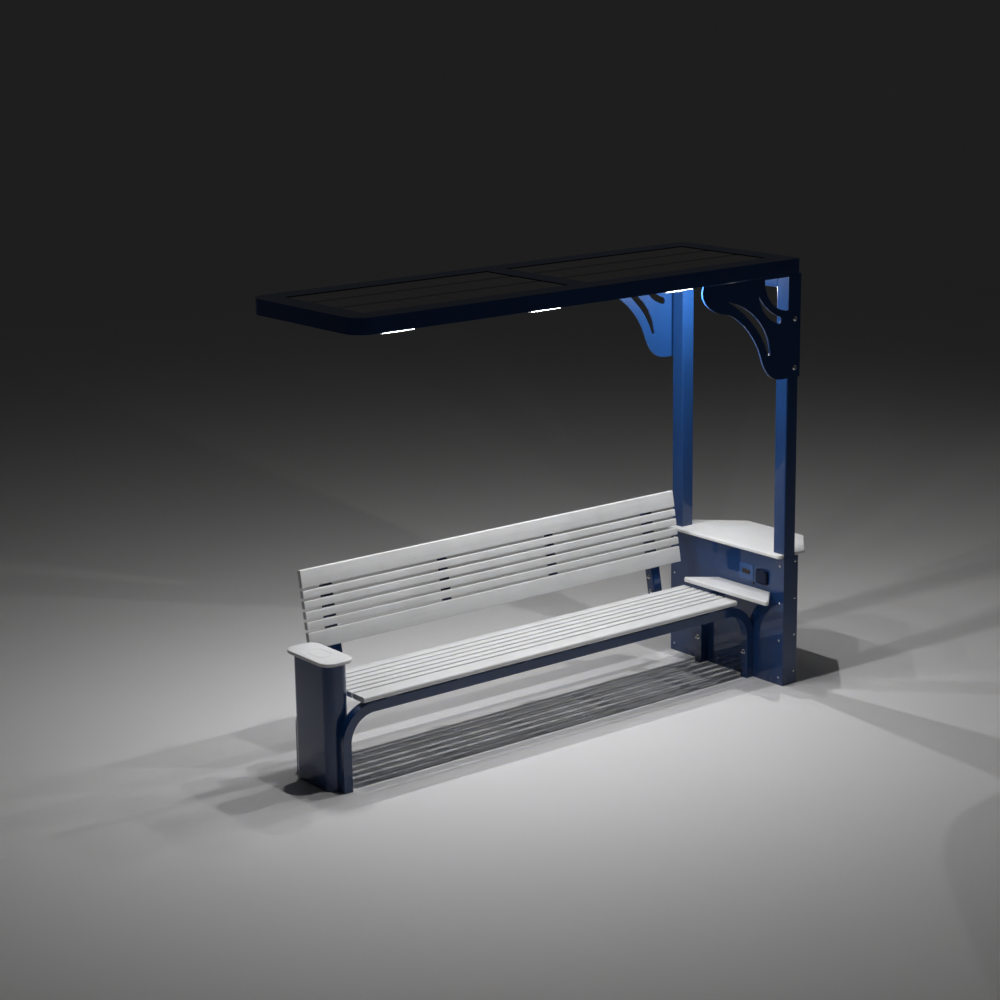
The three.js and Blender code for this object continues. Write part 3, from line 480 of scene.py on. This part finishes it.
def box_mesh(name, low, high, edge=0.0):
    """A block between two corners, with rounded edges where edge is given."""
    shape = bmesh.new()
    bmesh.ops.create_cube(shape, size=1.0)
    size = Vector(high) - Vector(low)
    bmesh.ops.transform(
        shape,
        matrix=Matrix.Translation((Vector(high) + Vector(low)) / 2) @ Matrix.Diagonal((*size, 1.0)),
        verts=shape.verts,
    )
    if edge:
        bmesh.ops.bevel(
            shape, geom=shape.edges, offset=edge, segments=EDGE_SEGMENTS, profile=0.5, affect="EDGES"
        )
    return mesh_from(name, shape)


# ---- Repeated pieces, placed by Geometry Nodes ----
class Pattern:
    """A Geometry Nodes tree with named inputs, run on a mesh of points and baked to a plain mesh."""

    def __init__(self, name, inputs):
        self.tree = bpy.data.node_groups.new(name, "GeometryNodeTree")
        ways = [("Points", "INPUT", "NodeSocketGeometry"), ("Geometry", "OUTPUT", "NodeSocketGeometry")]
        ways += [(label, "INPUT", kind) for label, kind in inputs.items()]
        self.sockets = {
            label: self.tree.interface.new_socket(label, in_out=way, socket_type=kind)
            for label, way, kind in ways
        }
        self.entry = self.tree.nodes.new("NodeGroupInput")
        self.exit = self.tree.nodes.new("NodeGroupOutput")

    def input(self, label):
        return self.entry.outputs[label]

    def node(self, kind, settings=None, sockets=None, output=0):
        """Adds a geometry node and gives one of its outputs."""
        made = self.tree.nodes.new(kind)
        for setting, value in (settings or {}).items():
            setattr(made, setting, value)
        for socket, value in (sockets or {}).items():
            if isinstance(value, bpy.types.NodeSocket):
                self.tree.links.new(value, made.inputs[socket])
            else:
                made.inputs[socket].default_value = value
        return made.outputs[output]

    def end(self, instances):
        """Makes the copies real, gives them their material and closes the tree."""
        real = self.node("GeometryNodeRealizeInstances", {}, {0: instances})
        painted = self.node(
            "GeometryNodeSetMaterial", {}, {"Geometry": real, "Material": self.input("Finish")}
        )
        self.tree.links.new(painted, self.exit.inputs[0])

    def bake(self, name, points, outward, finish, body="bench", **values):
        """Runs the tree on points, each with the direction that its copy faces, and shows the result."""
        mesh = bpy.data.meshes.new(name + "_points")
        mesh.from_pydata([tuple(point) for point in points], [], [])
        facing = mesh.attributes.new("outward", "FLOAT_VECTOR", "POINT")
        facing.data.foreach_set("vector", [number for way in outward for number in way])
        carrier = bpy.data.objects.new(name + "_points", mesh)
        scene.collection.objects.link(carrier)
        modifier = carrier.modifiers.new("pattern", "NODES")
        modifier.node_group = self.tree
        modifier[self.sockets["Finish"].identifier] = finish.material
        for label, value in values.items():
            modifier[self.sockets[label].identifier] = value
        evaluated = carrier.evaluated_get(bpy.context.evaluated_depsgraph_get())
        baked = bpy.data.meshes.new_from_object(evaluated)
        baked.name = name
        bpy.data.objects.remove(carrier)
        return show(name, baked, finish, body)


def facing_pattern():
    """Sets one shape on every point, turned so that its Z looks the way that the point faces."""
    pattern = Pattern("set_on_points", {"Shape": "NodeSocketObject", "Finish": "NodeSocketMaterial"})
    outward = pattern.node(
        "GeometryNodeInputNamedAttribute", {"data_type": "FLOAT_VECTOR"}, {"Name": "outward"}
    )
    turn = pattern.node("FunctionNodeAlignRotationToVector", {"axis": "Z"}, {"Vector": outward})
    shape = pattern.node(
        "GeometryNodeObjectInfo", {}, {"Object": pattern.input("Shape")}, output="Geometry"
    )
    sockets = {"Points": pattern.input("Points"), "Instance": shape, "Rotation": turn}
    pattern.end(pattern.node("GeometryNodeInstanceOnPoints", {}, sockets))
    return pattern


def cell_pattern():
    """Sets a thin slice with clipped corners on every point."""
    inputs = {
        "Length": "NodeSocketFloat",
        "Width": "NodeSocketFloat",
        "Corner": "NodeSocketFloat",
        "Thickness": "NodeSocketFloat",
        "Finish": "NodeSocketMaterial",
    }
    pattern = Pattern("set_cells", inputs)
    edge = pattern.node(
        "GeometryNodeCurvePrimitiveQuadrilateral",
        {},
        {"Width": pattern.input("Length"), "Height": pattern.input("Width")},
    )
    clipped = pattern.node(
        "GeometryNodeFilletCurve",
        {"mode": "POLY"},
        {"Curve": edge, "Count": 1, "Radius": pattern.input("Corner")},
    )
    face = pattern.node("GeometryNodeFillCurve", {"mode": "NGONS"}, {"Curve": clipped})
    slice_top = pattern.node(
        "GeometryNodeExtrudeMesh", {}, {"Mesh": face, "Offset Scale": pattern.input("Thickness")}
    )
    under = pattern.node("GeometryNodeFlipFaces", {}, {"Mesh": face})
    whole = pattern.tree.nodes.new("GeometryNodeJoinGeometry")
    pattern.tree.links.new(slice_top, whole.inputs[0])
    pattern.tree.links.new(under, whole.inputs[0])
    sockets = {"Points": pattern.input("Points"), "Instance": whole.outputs[0]}
    pattern.end(pattern.node("GeometryNodeInstanceOnPoints", {}, sockets))
    return pattern


def template(mesh, finish):
    """A shape to repeat: it stays out of the render and goes when the patterns are baked."""
    mesh.materials.append(finish.material)
    piece = bpy.data.objects.new(mesh.name, mesh)
    piece.hide_render = True
    scene.collection.objects.link(piece)
    return piece


LEFT, RIGHT = Vector((-1, 0, 0)), Vector((1, 0, 0))
FORWARD, BACKWARD = Vector((0, -1, 0)), Vector((0, 1, 0))
UP, DOWN = Vector((0, 0, 1)), Vector((0, 0, -1))


# Profiles as parts of a head's radius and height, from the outside of its foot to its top
DOME = ((1.0, 0.25), (0.93, 0.55), (0.76, 0.85), (0.55, 1.0))
SOCKET_FLOOR = 0.4
WASHER_AND_DOME = (
    (1.45, 0.11), (1.02, 0.13), (1.0, 0.15), (1.0, 0.52), (0.84, 0.55), (0.8, 0.72), (0.62, 0.9),
    (0.3, 0.98),
)
WASHER_RADIUS = 1.45
HEAD_SINK = 0.0005
HEAD_SIDES = 20


def domed_head(name, radius, height, socket):
    """A button-head screw with a round drive socket."""
    profile = [(0, -HEAD_SINK), (radius, -HEAD_SINK)]
    profile += [(out * radius, up * height) for out, up in DOME]
    profile += [(socket, height), (socket, SOCKET_FLOOR * height), (0, SOCKET_FLOOR * height)]
    return turned(name, profile, HEAD_SIDES)


def cap_nut(name, radius, height):
    """A washer, a nut and its dome."""
    profile = [(0, -HEAD_SINK), (WASHER_RADIUS * radius, -HEAD_SINK)]
    profile += [(out * radius, up * height) for out, up in WASHER_AND_DOME]
    return turned(name, profile + [(0, height)], HEAD_SIDES)


SCREW = {"radius": 0.0068, "height": 0.0036, "socket": 0.0026}
BOLT = {"radius": 0.0135, "height": 0.0075, "socket": 0.005}
BOARD_SCREW = {"radius": 0.0052, "height": 0.0026, "socket": 0.002}
LEG_NUT = {"radius": 0.0095, "height": 0.02}
EAR_NUT = {"radius": 0.0075, "height": 0.013}
ANCHOR_NUT = {"radius": 0.012, "height": 0.026}
CABINET_SCREWS = {"start": 0.045, "pitch": 0.212, "count": 4, "inset": 0.031}
COVER_SCREWS = {"start": 0.074, "pitch": 0.2093, "count": 4, "along": 0.083, "fold": 0.014}
BRACKET_BOLTS = {"foot": 0.052, "head": 0.241}
FLUSH_PROUD = 0.00015  # of the rear bracket's bolts, whose heads are sunk
LEG_BOLT_HEIGHT = 0.15
LEG_SPAN = 0.369  # from the front seat frame's legs to the rear one's
EAR_BOLT_HEIGHTS = (0.46, 0.54)
EAR_SIDE = 0.0313  # from an upright's middle to the outside of its ear plate
LEAN = math.radians(10.2)
CLEAT_DEPTH = 0.02
HALF_BOARD = 0.0143  # half a backrest board's thickness, and the gap behind it
BACK_BOARDS = range(1, 7)
STRAPPED_BOARDS = range(2, 7)  # the seat's other two boards lie over the frames' tubes
STRAPS = {"count": 6, "inset": 0.172, "thickness": 0.01, "screws": 0.014}
ANCHORS = ((0.1247, 0.1247), (0.1247, 0.7747), (0.2997, 0.3077), (0.2997, 0.5917))


def row(start, pitch, count):
    """Equally spaced values."""
    return [start + pitch * i for i in range(count)]


def add_fixings():
    """Screws, bolts and nuts on the pieces that they hold."""
    on_points = facing_pattern()
    small = template(domed_head("screw_head", **SCREW), bolt_steel)
    large = template(domed_head("bolt_head", **BOLT), bolt_steel)
    flush = template(domed_head("flush_head", **{**BOLT, "height": FLUSH_PROUD}), bolt_steel)
    wood = template(domed_head("board_screw_head", **BOARD_SCREW), bolt_steel)
    nut = template(cap_nut("cap_nut", **LEG_NUT), bolt_steel)
    ear_nut = template(cap_nut("ear_cap_nut", **EAR_NUT), bolt_steel)
    anchor = template(cap_nut("anchor_nut", **ANCHOR_NUT), steel)

    panel_low, panel_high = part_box("cabinet_seat_panel")
    front_low, front_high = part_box("cabinet_cover_front")
    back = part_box("cabinet_cover_rear")[1].y
    door_frame_low, door_frame_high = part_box("door_frame")
    places, ways = [], []
    for z in row(CABINET_SCREWS["start"], CABINET_SCREWS["pitch"], CABINET_SCREWS["count"]):
        for y in (panel_low.y + CABINET_SCREWS["inset"], panel_high.y - CABINET_SCREWS["inset"]):
            places.append((panel_low.x, y, z))
            ways.append(LEFT)
    for z in row(COVER_SCREWS["start"], COVER_SCREWS["pitch"], COVER_SCREWS["count"]):
        x = front_low.x + COVER_SCREWS["along"]
        places += [(x, front_low.y, z), (x, back, z)]
        ways += [FORWARD, BACKWARD]
        for y in (door_frame_low.y + COVER_SCREWS["fold"], door_frame_high.y - COVER_SCREWS["fold"]):
            places.append((front_high.x, y, z))
            ways.append(RIGHT)
    on_points.bake("cabinet_screws", places, ways, bolt_steel, Shape=small)

    post_low, post_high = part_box("post_front")
    x = (post_low.x + post_high.x) / 2
    for node, side, head in (("bracket_front", FORWARD, large), ("bracket_rear", BACKWARD, flush)):
        low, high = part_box(node)
        y = low.y if side is FORWARD else high.y
        places = [(x, y, z) for z in (low.z + BRACKET_BOLTS["foot"], high.z - BRACKET_BOLTS["head"])]
        on_points.bake(f"{node}_bolts", places, [side] * len(places), bolt_steel, Shape=head)

    frame_low, frame_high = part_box("seat_frame_front")
    tube = frame_high.y - frame_low.y
    x, y = frame_high.x - tube, frame_low.y + tube / 2
    places = [(x, y, LEG_BOLT_HEIGHT), (x, y + LEG_SPAN, LEG_BOLT_HEIGHT)]
    on_points.bake("leg_nuts", places, [LEFT] * len(places), bolt_steel, Shape=nut)

    places, ways, screws, screw_ways = [], [], [], []
    behind = Vector((0, math.cos(LEAN), -math.sin(LEAN)))
    for node in ("upright_left", "upright_right", "back_cleat_left", "back_cleat_right"):
        low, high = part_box(node)
        middle = (low + high) / 2
        if node.startswith("upright"):
            for z in EAR_BOLT_HEIGHTS:
                y = middle.y + (z - middle.z) * math.tan(LEAN)
                places += [(middle.x - EAR_SIDE, y, z), (middle.x + EAR_SIDE, y, z)]
                ways += [LEFT, RIGHT]
        depth = tube if node.startswith("upright") else CLEAT_DEPTH
        for number in BACK_BOARDS:
            slat_low, slat_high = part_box(f"back_slat_{number}")
            start = (slat_low + slat_high) / 2
            start.x = middle.x
            screws.append(start + behind * (HALF_BOARD + depth))
            screw_ways.append(behind)
    on_points.bake("ear_nuts", places, ways, bolt_steel, Shape=ear_nut)

    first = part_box("seat_slat_1")[0].x + STRAPS["inset"]
    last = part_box("seat_slat_1")[1].x - STRAPS["inset"]
    for middle in row(first, (last - first) / (STRAPS["count"] - 1), STRAPS["count"]):
        for number in STRAPPED_BOARDS:
            slat_low, slat_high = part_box(f"seat_slat_{number}")
            y = (slat_low.y + slat_high.y) / 2
            for x in (middle - STRAPS["screws"], middle + STRAPS["screws"]):
                screws.append(Vector((x, y, slat_low.z - STRAPS["thickness"])))
                screw_ways.append(DOWN)
    on_points.bake("board_screws", screws, screw_ways, bolt_steel, Shape=wood)

    low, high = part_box("cabinet_base_plate")
    places = [(low.x + x, low.y + y, high.z) for x, y in ANCHORS]
    on_points.bake("anchor_nuts", places, [UP] * len(places), steel, Shape=anchor)

    for shape in (small, large, flush, wood, nut, ear_nut, anchor):
        bpy.data.objects.remove(shape)


# ---- Solar cells on the modules ----
CELLS = {
    "rows": 3,
    "columns": 11,
    "gap": 0.002,
    "row_gap": 0.036,
    "edge": 0.007,
    "corner": 0.006,
    "thickness": 0.0006,
}
MODULE_LAP = 0.018  # how far a module runs under the canopy's rim


def add_solar_cells():
    """Rows of cells on each module, inside the part that the canopy's rim covers."""
    cells = cell_pattern()
    for side in ("left", "right"):
        low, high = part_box(f"solar_panel_{side}")
        rim = MODULE_LAP + CELLS["edge"]
        start = Vector((low.x + rim, low.y + rim, high.z))
        end = Vector((high.x - rim, high.y - rim, high.z))
        pitch_x = (end.x - start.x + CELLS["gap"]) / CELLS["columns"]
        pitch_y = (end.y - start.y + CELLS["row_gap"]) / CELLS["rows"]
        length = pitch_x - CELLS["gap"]
        width = pitch_y - CELLS["row_gap"]
        places = [
            (start.x + length / 2 + pitch_x * i, start.y + width / 2 + pitch_y * k, start.z)
            for i in range(CELLS["columns"])
            for k in range(CELLS["rows"])
        ]
        cells.bake(
            f"solar_cells_{side}",
            places,
            [UP] * len(places),
            cell,
            Length=length,
            Width=width,
            Corner=CELLS["corner"],
            Thickness=CELLS["thickness"],
        )


# ---- Small parts ----
LIGHT_BARS = [
    f"light_bar_{side}_{place}" for side in ("front", "rear") for place in ("left", "middle", "right")
]
BEAM_BAR = "light_bar_beam"
END_CAP = {"proud": 0.0015, "length": 0.004, "edge": 0.0014}


def add_light_ends():
    """End caps of the light bars, proud of each bar at its sides and below."""
    on_points = facing_pattern()
    low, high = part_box(LIGHT_BARS[0])
    proud = END_CAP["proud"]
    half_width = (high.y - low.y) / 2 + proud
    half_height = (high.z - low.z + proud) / 2
    mesh = box_mesh(
        "light_end",
        (-half_height, -half_width, 0),
        (half_height, half_width, END_CAP["length"]),
        END_CAP["edge"],
    )
    end_cap = template(mesh, grey)
    places, ways = [], []
    for bar in LIGHT_BARS:
        low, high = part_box(bar)
        middle = (low + high) / 2
        z = middle.z - proud / 2
        places += [(low.x, middle.y, z), (high.x, middle.y, z)]
        ways += [LEFT, RIGHT]
    on_points.bake("light_ends", places, ways, grey, Shape=end_cap)
    low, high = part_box(BEAM_BAR)
    middle = (low + high) / 2
    mesh.transform(Matrix.Rotation(math.pi / 2, 4, "Z"))
    z = middle.z - proud / 2
    places = [(middle.x, low.y, z), (middle.x, high.y, z)]
    on_points.bake("light_ends_beam", places, [FORWARD, BACKWARD], grey, Shape=end_cap)
    bpy.data.objects.remove(end_cap)


# The outlet's core: its middle is up from the outlet's lowest corner, its foot in from the outlet's face
CORE = {"middle": 0.04, "foot": 0.0253, "height": 0.003, "sides": 32}
CORE_PROFILE = ((0, 0), (0.0212, 0), (0.0212, 0.0022), (0.0195, 0.003), (0, 0.003))
CONTACT = {"offset": 0.0095, "sides": 16}
CONTACT_PROFILE = (
    (0, 0), (0.0026, 0), (0.0026, 0.0006), (0.0018, 0.0006), (0.0018, 0.0001), (0, 0.0001),
)
# The springs reach out from the core's foot
SPRING = {"offset": 0.0192, "tip": 0.011, "root": 0.002, "half_width": 0.0022, "half_height": 0.0008}
SPRING_EDGE = 0.0004


def add_outlet_core():
    """The insulating disc in the outlet, with its two contact holes drawn as shallow black discs of painted
    shade, and the two earth springs.
    """
    low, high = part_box("mains_outlet")
    y = (low.y + high.y) / 2
    z = low.z + CORE["middle"]
    foot = low.x + CORE["foot"]
    facing = Matrix.Rotation(-math.pi / 2, 4, "Y")
    disc = turned("outlet_core", CORE_PROFILE, CORE["sides"])
    disc.transform(Matrix.Translation((foot, y, z)) @ facing)
    show("outlet_core", disc, grey)
    for side, contact, earth in ((-1, "front", "low"), (1, "rear", "high")):
        # Each contact hole is a shallow black disc on the core's face: painted shade where the hole's depth
        # would be.
        hole = turned("hole", CONTACT_PROFILE, CONTACT["sides"])
        place = (foot - CORE["height"], y + side * CONTACT["offset"], z)
        hole.transform(Matrix.Translation(place) @ facing)
        show(f"outlet_contact_{contact}", hole, black)
        height = z + side * SPRING["offset"]
        spring = box_mesh(
            "spring",
            (foot - SPRING["tip"], y - SPRING["half_width"], height - SPRING["half_height"]),
            (foot - SPRING["root"], y + SPRING["half_width"], height + SPRING["half_height"]),
        )
        show(f"outlet_earth_{earth}", spring, bolt_steel, edge=SPRING_EDGE)


TONGUE = {"offset": 0.012, "root": 0.002, "tip": 0.0138, "half_width": 0.0052, "under": 0.0001, "top": 0.0019}
TONGUE_EDGE = 0.0003


def add_usb_tongues():
    """The contact tongue in each USB port."""
    low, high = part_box("usb_socket")
    middle = (low + high) / 2
    for name, side in (("front", -1), ("rear", 1)):
        y = middle.y + side * TONGUE["offset"]
        tongue = box_mesh(
            "tongue",
            (low.x + TONGUE["root"], y - TONGUE["half_width"], middle.z - TONGUE["under"]),
            (low.x + TONGUE["tip"], y + TONGUE["half_width"], middle.z + TONGUE["top"]),
        )
        show(f"usb_tongue_{name}", tongue, amber, edge=TONGUE_EDGE)


# Places on the equipment are from the lowest corner of each box, along Y and up
BATTERY = {"terminals": 0.01, "vent_inset": 0.05, "vent_start": 0.055, "vent_pitch": 0.044, "vents": 6}
VENT_SIDES = 18
VENT_PROFILE = (
    (0, 0), (0.011, 0), (0.011, 0.003), (0.009, 0.0045), (0.003, 0.0045), (0.003, 0.003), (0, 0.003),
)
TERMINAL_CAP = {"from_side": 0.024, "from_end": 0.032, "half": 0.011, "above_case": 0.0004, "proud": 0.003}
TERMINAL_CAP_EDGE = 0.002
SCREEN = {"low": (0.03, 0.018), "high": (0.095, 0.045), "proud": 0.0025, "edge": 0.0008}
KEYS = {"start": 0.115, "pitch": 0.018, "count": 4, "height": 0.032}
KEY = {"radius": 0.005, "height": 0.003, "socket": 0.0015}
FAN = {"along": 0.045, "height": 0.04, "sides": 28}
FAN_PROFILE = (
    (0, 0), (0.028, 0), (0.028, 0.002), (0.024, 0.003), (0.022, 0.001), (0.017, 0.001), (0.016, 0.0028),
    (0.012, 0.0028), (0.011, 0.001), (0.006, 0.001), (0.005, 0.003), (0, 0.003),
)
ROCKER = {"low": (0.11, 0.03), "high": (0.124, 0.05), "proud": 0.005, "edge": 0.0015}


def add_on_face(name, node, block, finish):
    """A small block on the face of a box of equipment."""
    low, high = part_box(node)
    (near_y, near_z), (far_y, far_z) = block["low"], block["high"]
    mesh = box_mesh(
        name,
        (high.x, low.y + near_y, low.z + near_z),
        (high.x + block["proud"], low.y + far_y, low.z + far_z),
    )
    show(name, mesh, finish, edge=block["edge"])


def add_equipment_details():
    """Vents and terminal caps on the battery, and what is on the faces of the controller and inverter."""
    on_points = facing_pattern()
    low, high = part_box("battery")
    case_top = high.z - BATTERY["terminals"]
    vent = template(turned("vent_plug", VENT_PROFILE, VENT_SIDES), grey)
    places = [
        (high.x - BATTERY["vent_inset"], y, case_top)
        for y in row(low.y + BATTERY["vent_start"], BATTERY["vent_pitch"], BATTERY["vents"])
    ]
    on_points.bake("battery_vents", places, [UP] * len(places), grey, Shape=vent)
    bpy.data.objects.remove(vent)
    x, half, inset = low.x + TERMINAL_CAP["from_side"], TERMINAL_CAP["half"], TERMINAL_CAP["from_end"]
    for name, y, finish in (("red", low.y + inset, red), ("black", high.y - inset, black)):
        cap = box_mesh(
            "cap",
            (x - half, y - half, case_top + TERMINAL_CAP["above_case"]),
            (x + half, y + half, high.z + TERMINAL_CAP["proud"]),
        )
        show(f"battery_cap_{name}", cap, finish, edge=TERMINAL_CAP_EDGE)

    add_on_face("controller_screen", "charge_controller", SCREEN, cell)
    low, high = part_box("charge_controller")
    key = template(domed_head("key", **KEY), grey)
    places = [
        (high.x, y, low.z + KEYS["height"])
        for y in row(low.y + KEYS["start"], KEYS["pitch"], KEYS["count"])
    ]
    on_points.bake("controller_keys", places, [RIGHT] * len(places), grey, Shape=key)
    bpy.data.objects.remove(key)

    low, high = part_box("inverter")
    rings = template(turned("fan_rings", FAN_PROFILE, FAN["sides"]), black)
    place = (high.x, low.y + FAN["along"], low.z + FAN["height"])
    on_points.bake("inverter_fan", [place], [RIGHT], black, Shape=rings)
    bpy.data.objects.remove(rings)
    add_on_face("inverter_switch", "inverter", ROCKER, red)


# ---- Floor, light and world ----
NEAR_FLOOR = colour(0.9, 0.895, 0.89)
FLOOR_CLOUD = colour(0.93, 0.925, 0.92)
FAR_GREY = colour(0.013, 0.013, 0.0133)
WHITE = colour(1.0, 1.0, 1.0)
FLOOR_RADIUS = 60.0
FLOOR_TOP, FLOOR_UNDER = -0.0004, -0.02
FLOOR_SIDES = 64
FADE_START, FADE_END = 3.0, 20.0  # how far from the middle the floor starts and ends to darken
AMBIENT = 0.01
BAR_POWER = 19.5
BEAM_POWER = 28.0
BAR_TINT = (1.0, 0.982, 0.962)
GLOW_DROP = 0.04  # from a light bar down to its lamp
GLOW_RADIUS = 0.005
GLOW_AIM = (0, 0, 0)
STUDIO_PANELS = {"top_panel": ((0.3, 1.8, 7.0), 13.0), "side_panel": ((6.5, -1.0, 4.5), 14.0)}
PANEL_AIM = (0, 0, 1.0)
PANEL_LENGTH, PANEL_WIDTH = 4.0, 1.6


def add_floor():
    """A pale floor round the bench that turns into the dark grey of the backdrop far away."""
    profile = [(0, FLOOR_UNDER), (FLOOR_RADIUS, FLOOR_UNDER), (FLOOR_RADIUS, FLOOR_TOP), (0, FLOOR_TOP)]
    mesh = turned("floor", profile, FLOOR_SIDES)
    floor = bpy.data.objects.new("floor", mesh)
    scene.collection.objects.link(floor)
    finish = Finish("floor_paint", "floor", {"Roughness": 0.85, "Specular IOR Level": 0.2})
    cloud = finish.noise(scale=1.5, detail=4.0)
    finish.set({"Base Color": finish.blend(cloud, NEAR_FLOOR, FLOOR_CLOUD)})
    distance = finish.node("VectorMath", {"operation": "LENGTH"}, {0: finish.place}, output="Value")
    fade = finish.node(
        "MapRange",
        {"interpolation_type": "SMOOTHSTEP"},
        {"Value": distance, "From Min": FADE_START, "From Max": FADE_END},
    )
    far = finish.node("Emission", {}, {"Color": FAR_GREY})
    near = Signal(finish, finish.shader.outputs[0])
    mixed = finish.node("MixShader", {}, {0: fade, 1: near, 2: far})
    finish.tree.links.new(mixed.socket, finish.tree.nodes["Material Output"].inputs["Surface"])
    mesh.materials.append(finish.material)


def add_world():
    """Weak white light from all sides, and a dark grey backdrop behind the floor."""
    world = bpy.data.worlds.new("studio")
    world.use_nodes = True
    scene.world = world
    tree = world.node_tree
    rays = tree.nodes.new("ShaderNodeLightPath")
    output = tree.nodes["World Output"]
    before = tree.nodes["Background"]
    before.inputs["Color"].default_value = WHITE
    before.inputs["Strength"].default_value = AMBIENT
    for ray in ("Is Glossy Ray", "Is Transmission Ray", "Is Camera Ray"):
        background = tree.nodes.new("ShaderNodeBackground")
        background.inputs["Color"].default_value = FAR_GREY
        mix = tree.nodes.new("ShaderNodeMixShader")
        tree.links.new(rays.outputs[ray], mix.inputs[0])
        tree.links.new(before.outputs[0], mix.inputs[1])
        tree.links.new(background.outputs[0], mix.inputs[2])
        before = mix
    tree.links.new(before.outputs[0], output.inputs["Surface"])


def add_lamp(name, kind, place, aim, power, **settings):
    """A lamp that looks from its place to its aim."""
    lamp = bpy.data.lights.new(name, kind)
    lamp.energy = power
    for setting, value in settings.items():
        setattr(lamp, setting, value)
    holder = bpy.data.objects.new(name, lamp)
    scene.collection.objects.link(holder)
    holder.location = place
    holder.rotation_mode = "QUATERNION"
    holder.rotation_quaternion = (Vector(aim) - Vector(place)).to_track_quat("-Z", "Y")


def add_lamps():
    """A lamp under each light bar, and two large soft panels of weak studio light."""
    powers = {**dict.fromkeys(LIGHT_BARS, BAR_POWER), BEAM_BAR: BEAM_POWER}
    for bar, power in powers.items():
        low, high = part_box(bar)
        middle = (low + high) / 2
        middle.z = low.z - GLOW_DROP
        glow = {"color": BAR_TINT, "shadow_soft_size": GLOW_RADIUS}
        add_lamp(f"{bar}_glow", "POINT", middle, GLOW_AIM, power, **glow)
    for name, (place, power) in STUDIO_PANELS.items():
        panel = {"shape": "RECTANGLE", "size": PANEL_LENGTH, "size_y": PANEL_WIDTH}
        add_lamp(name, "AREA", place, PANEL_AIM, power, **panel)


add_camera()
finish_cad_nodes()
add_fixings()
add_solar_cells()
add_light_ends()
add_outlet_core()
add_usb_tongues()
add_equipment_details()
add_floor()
add_world()
add_lamps()
scene.view_settings.view_transform = "Standard"
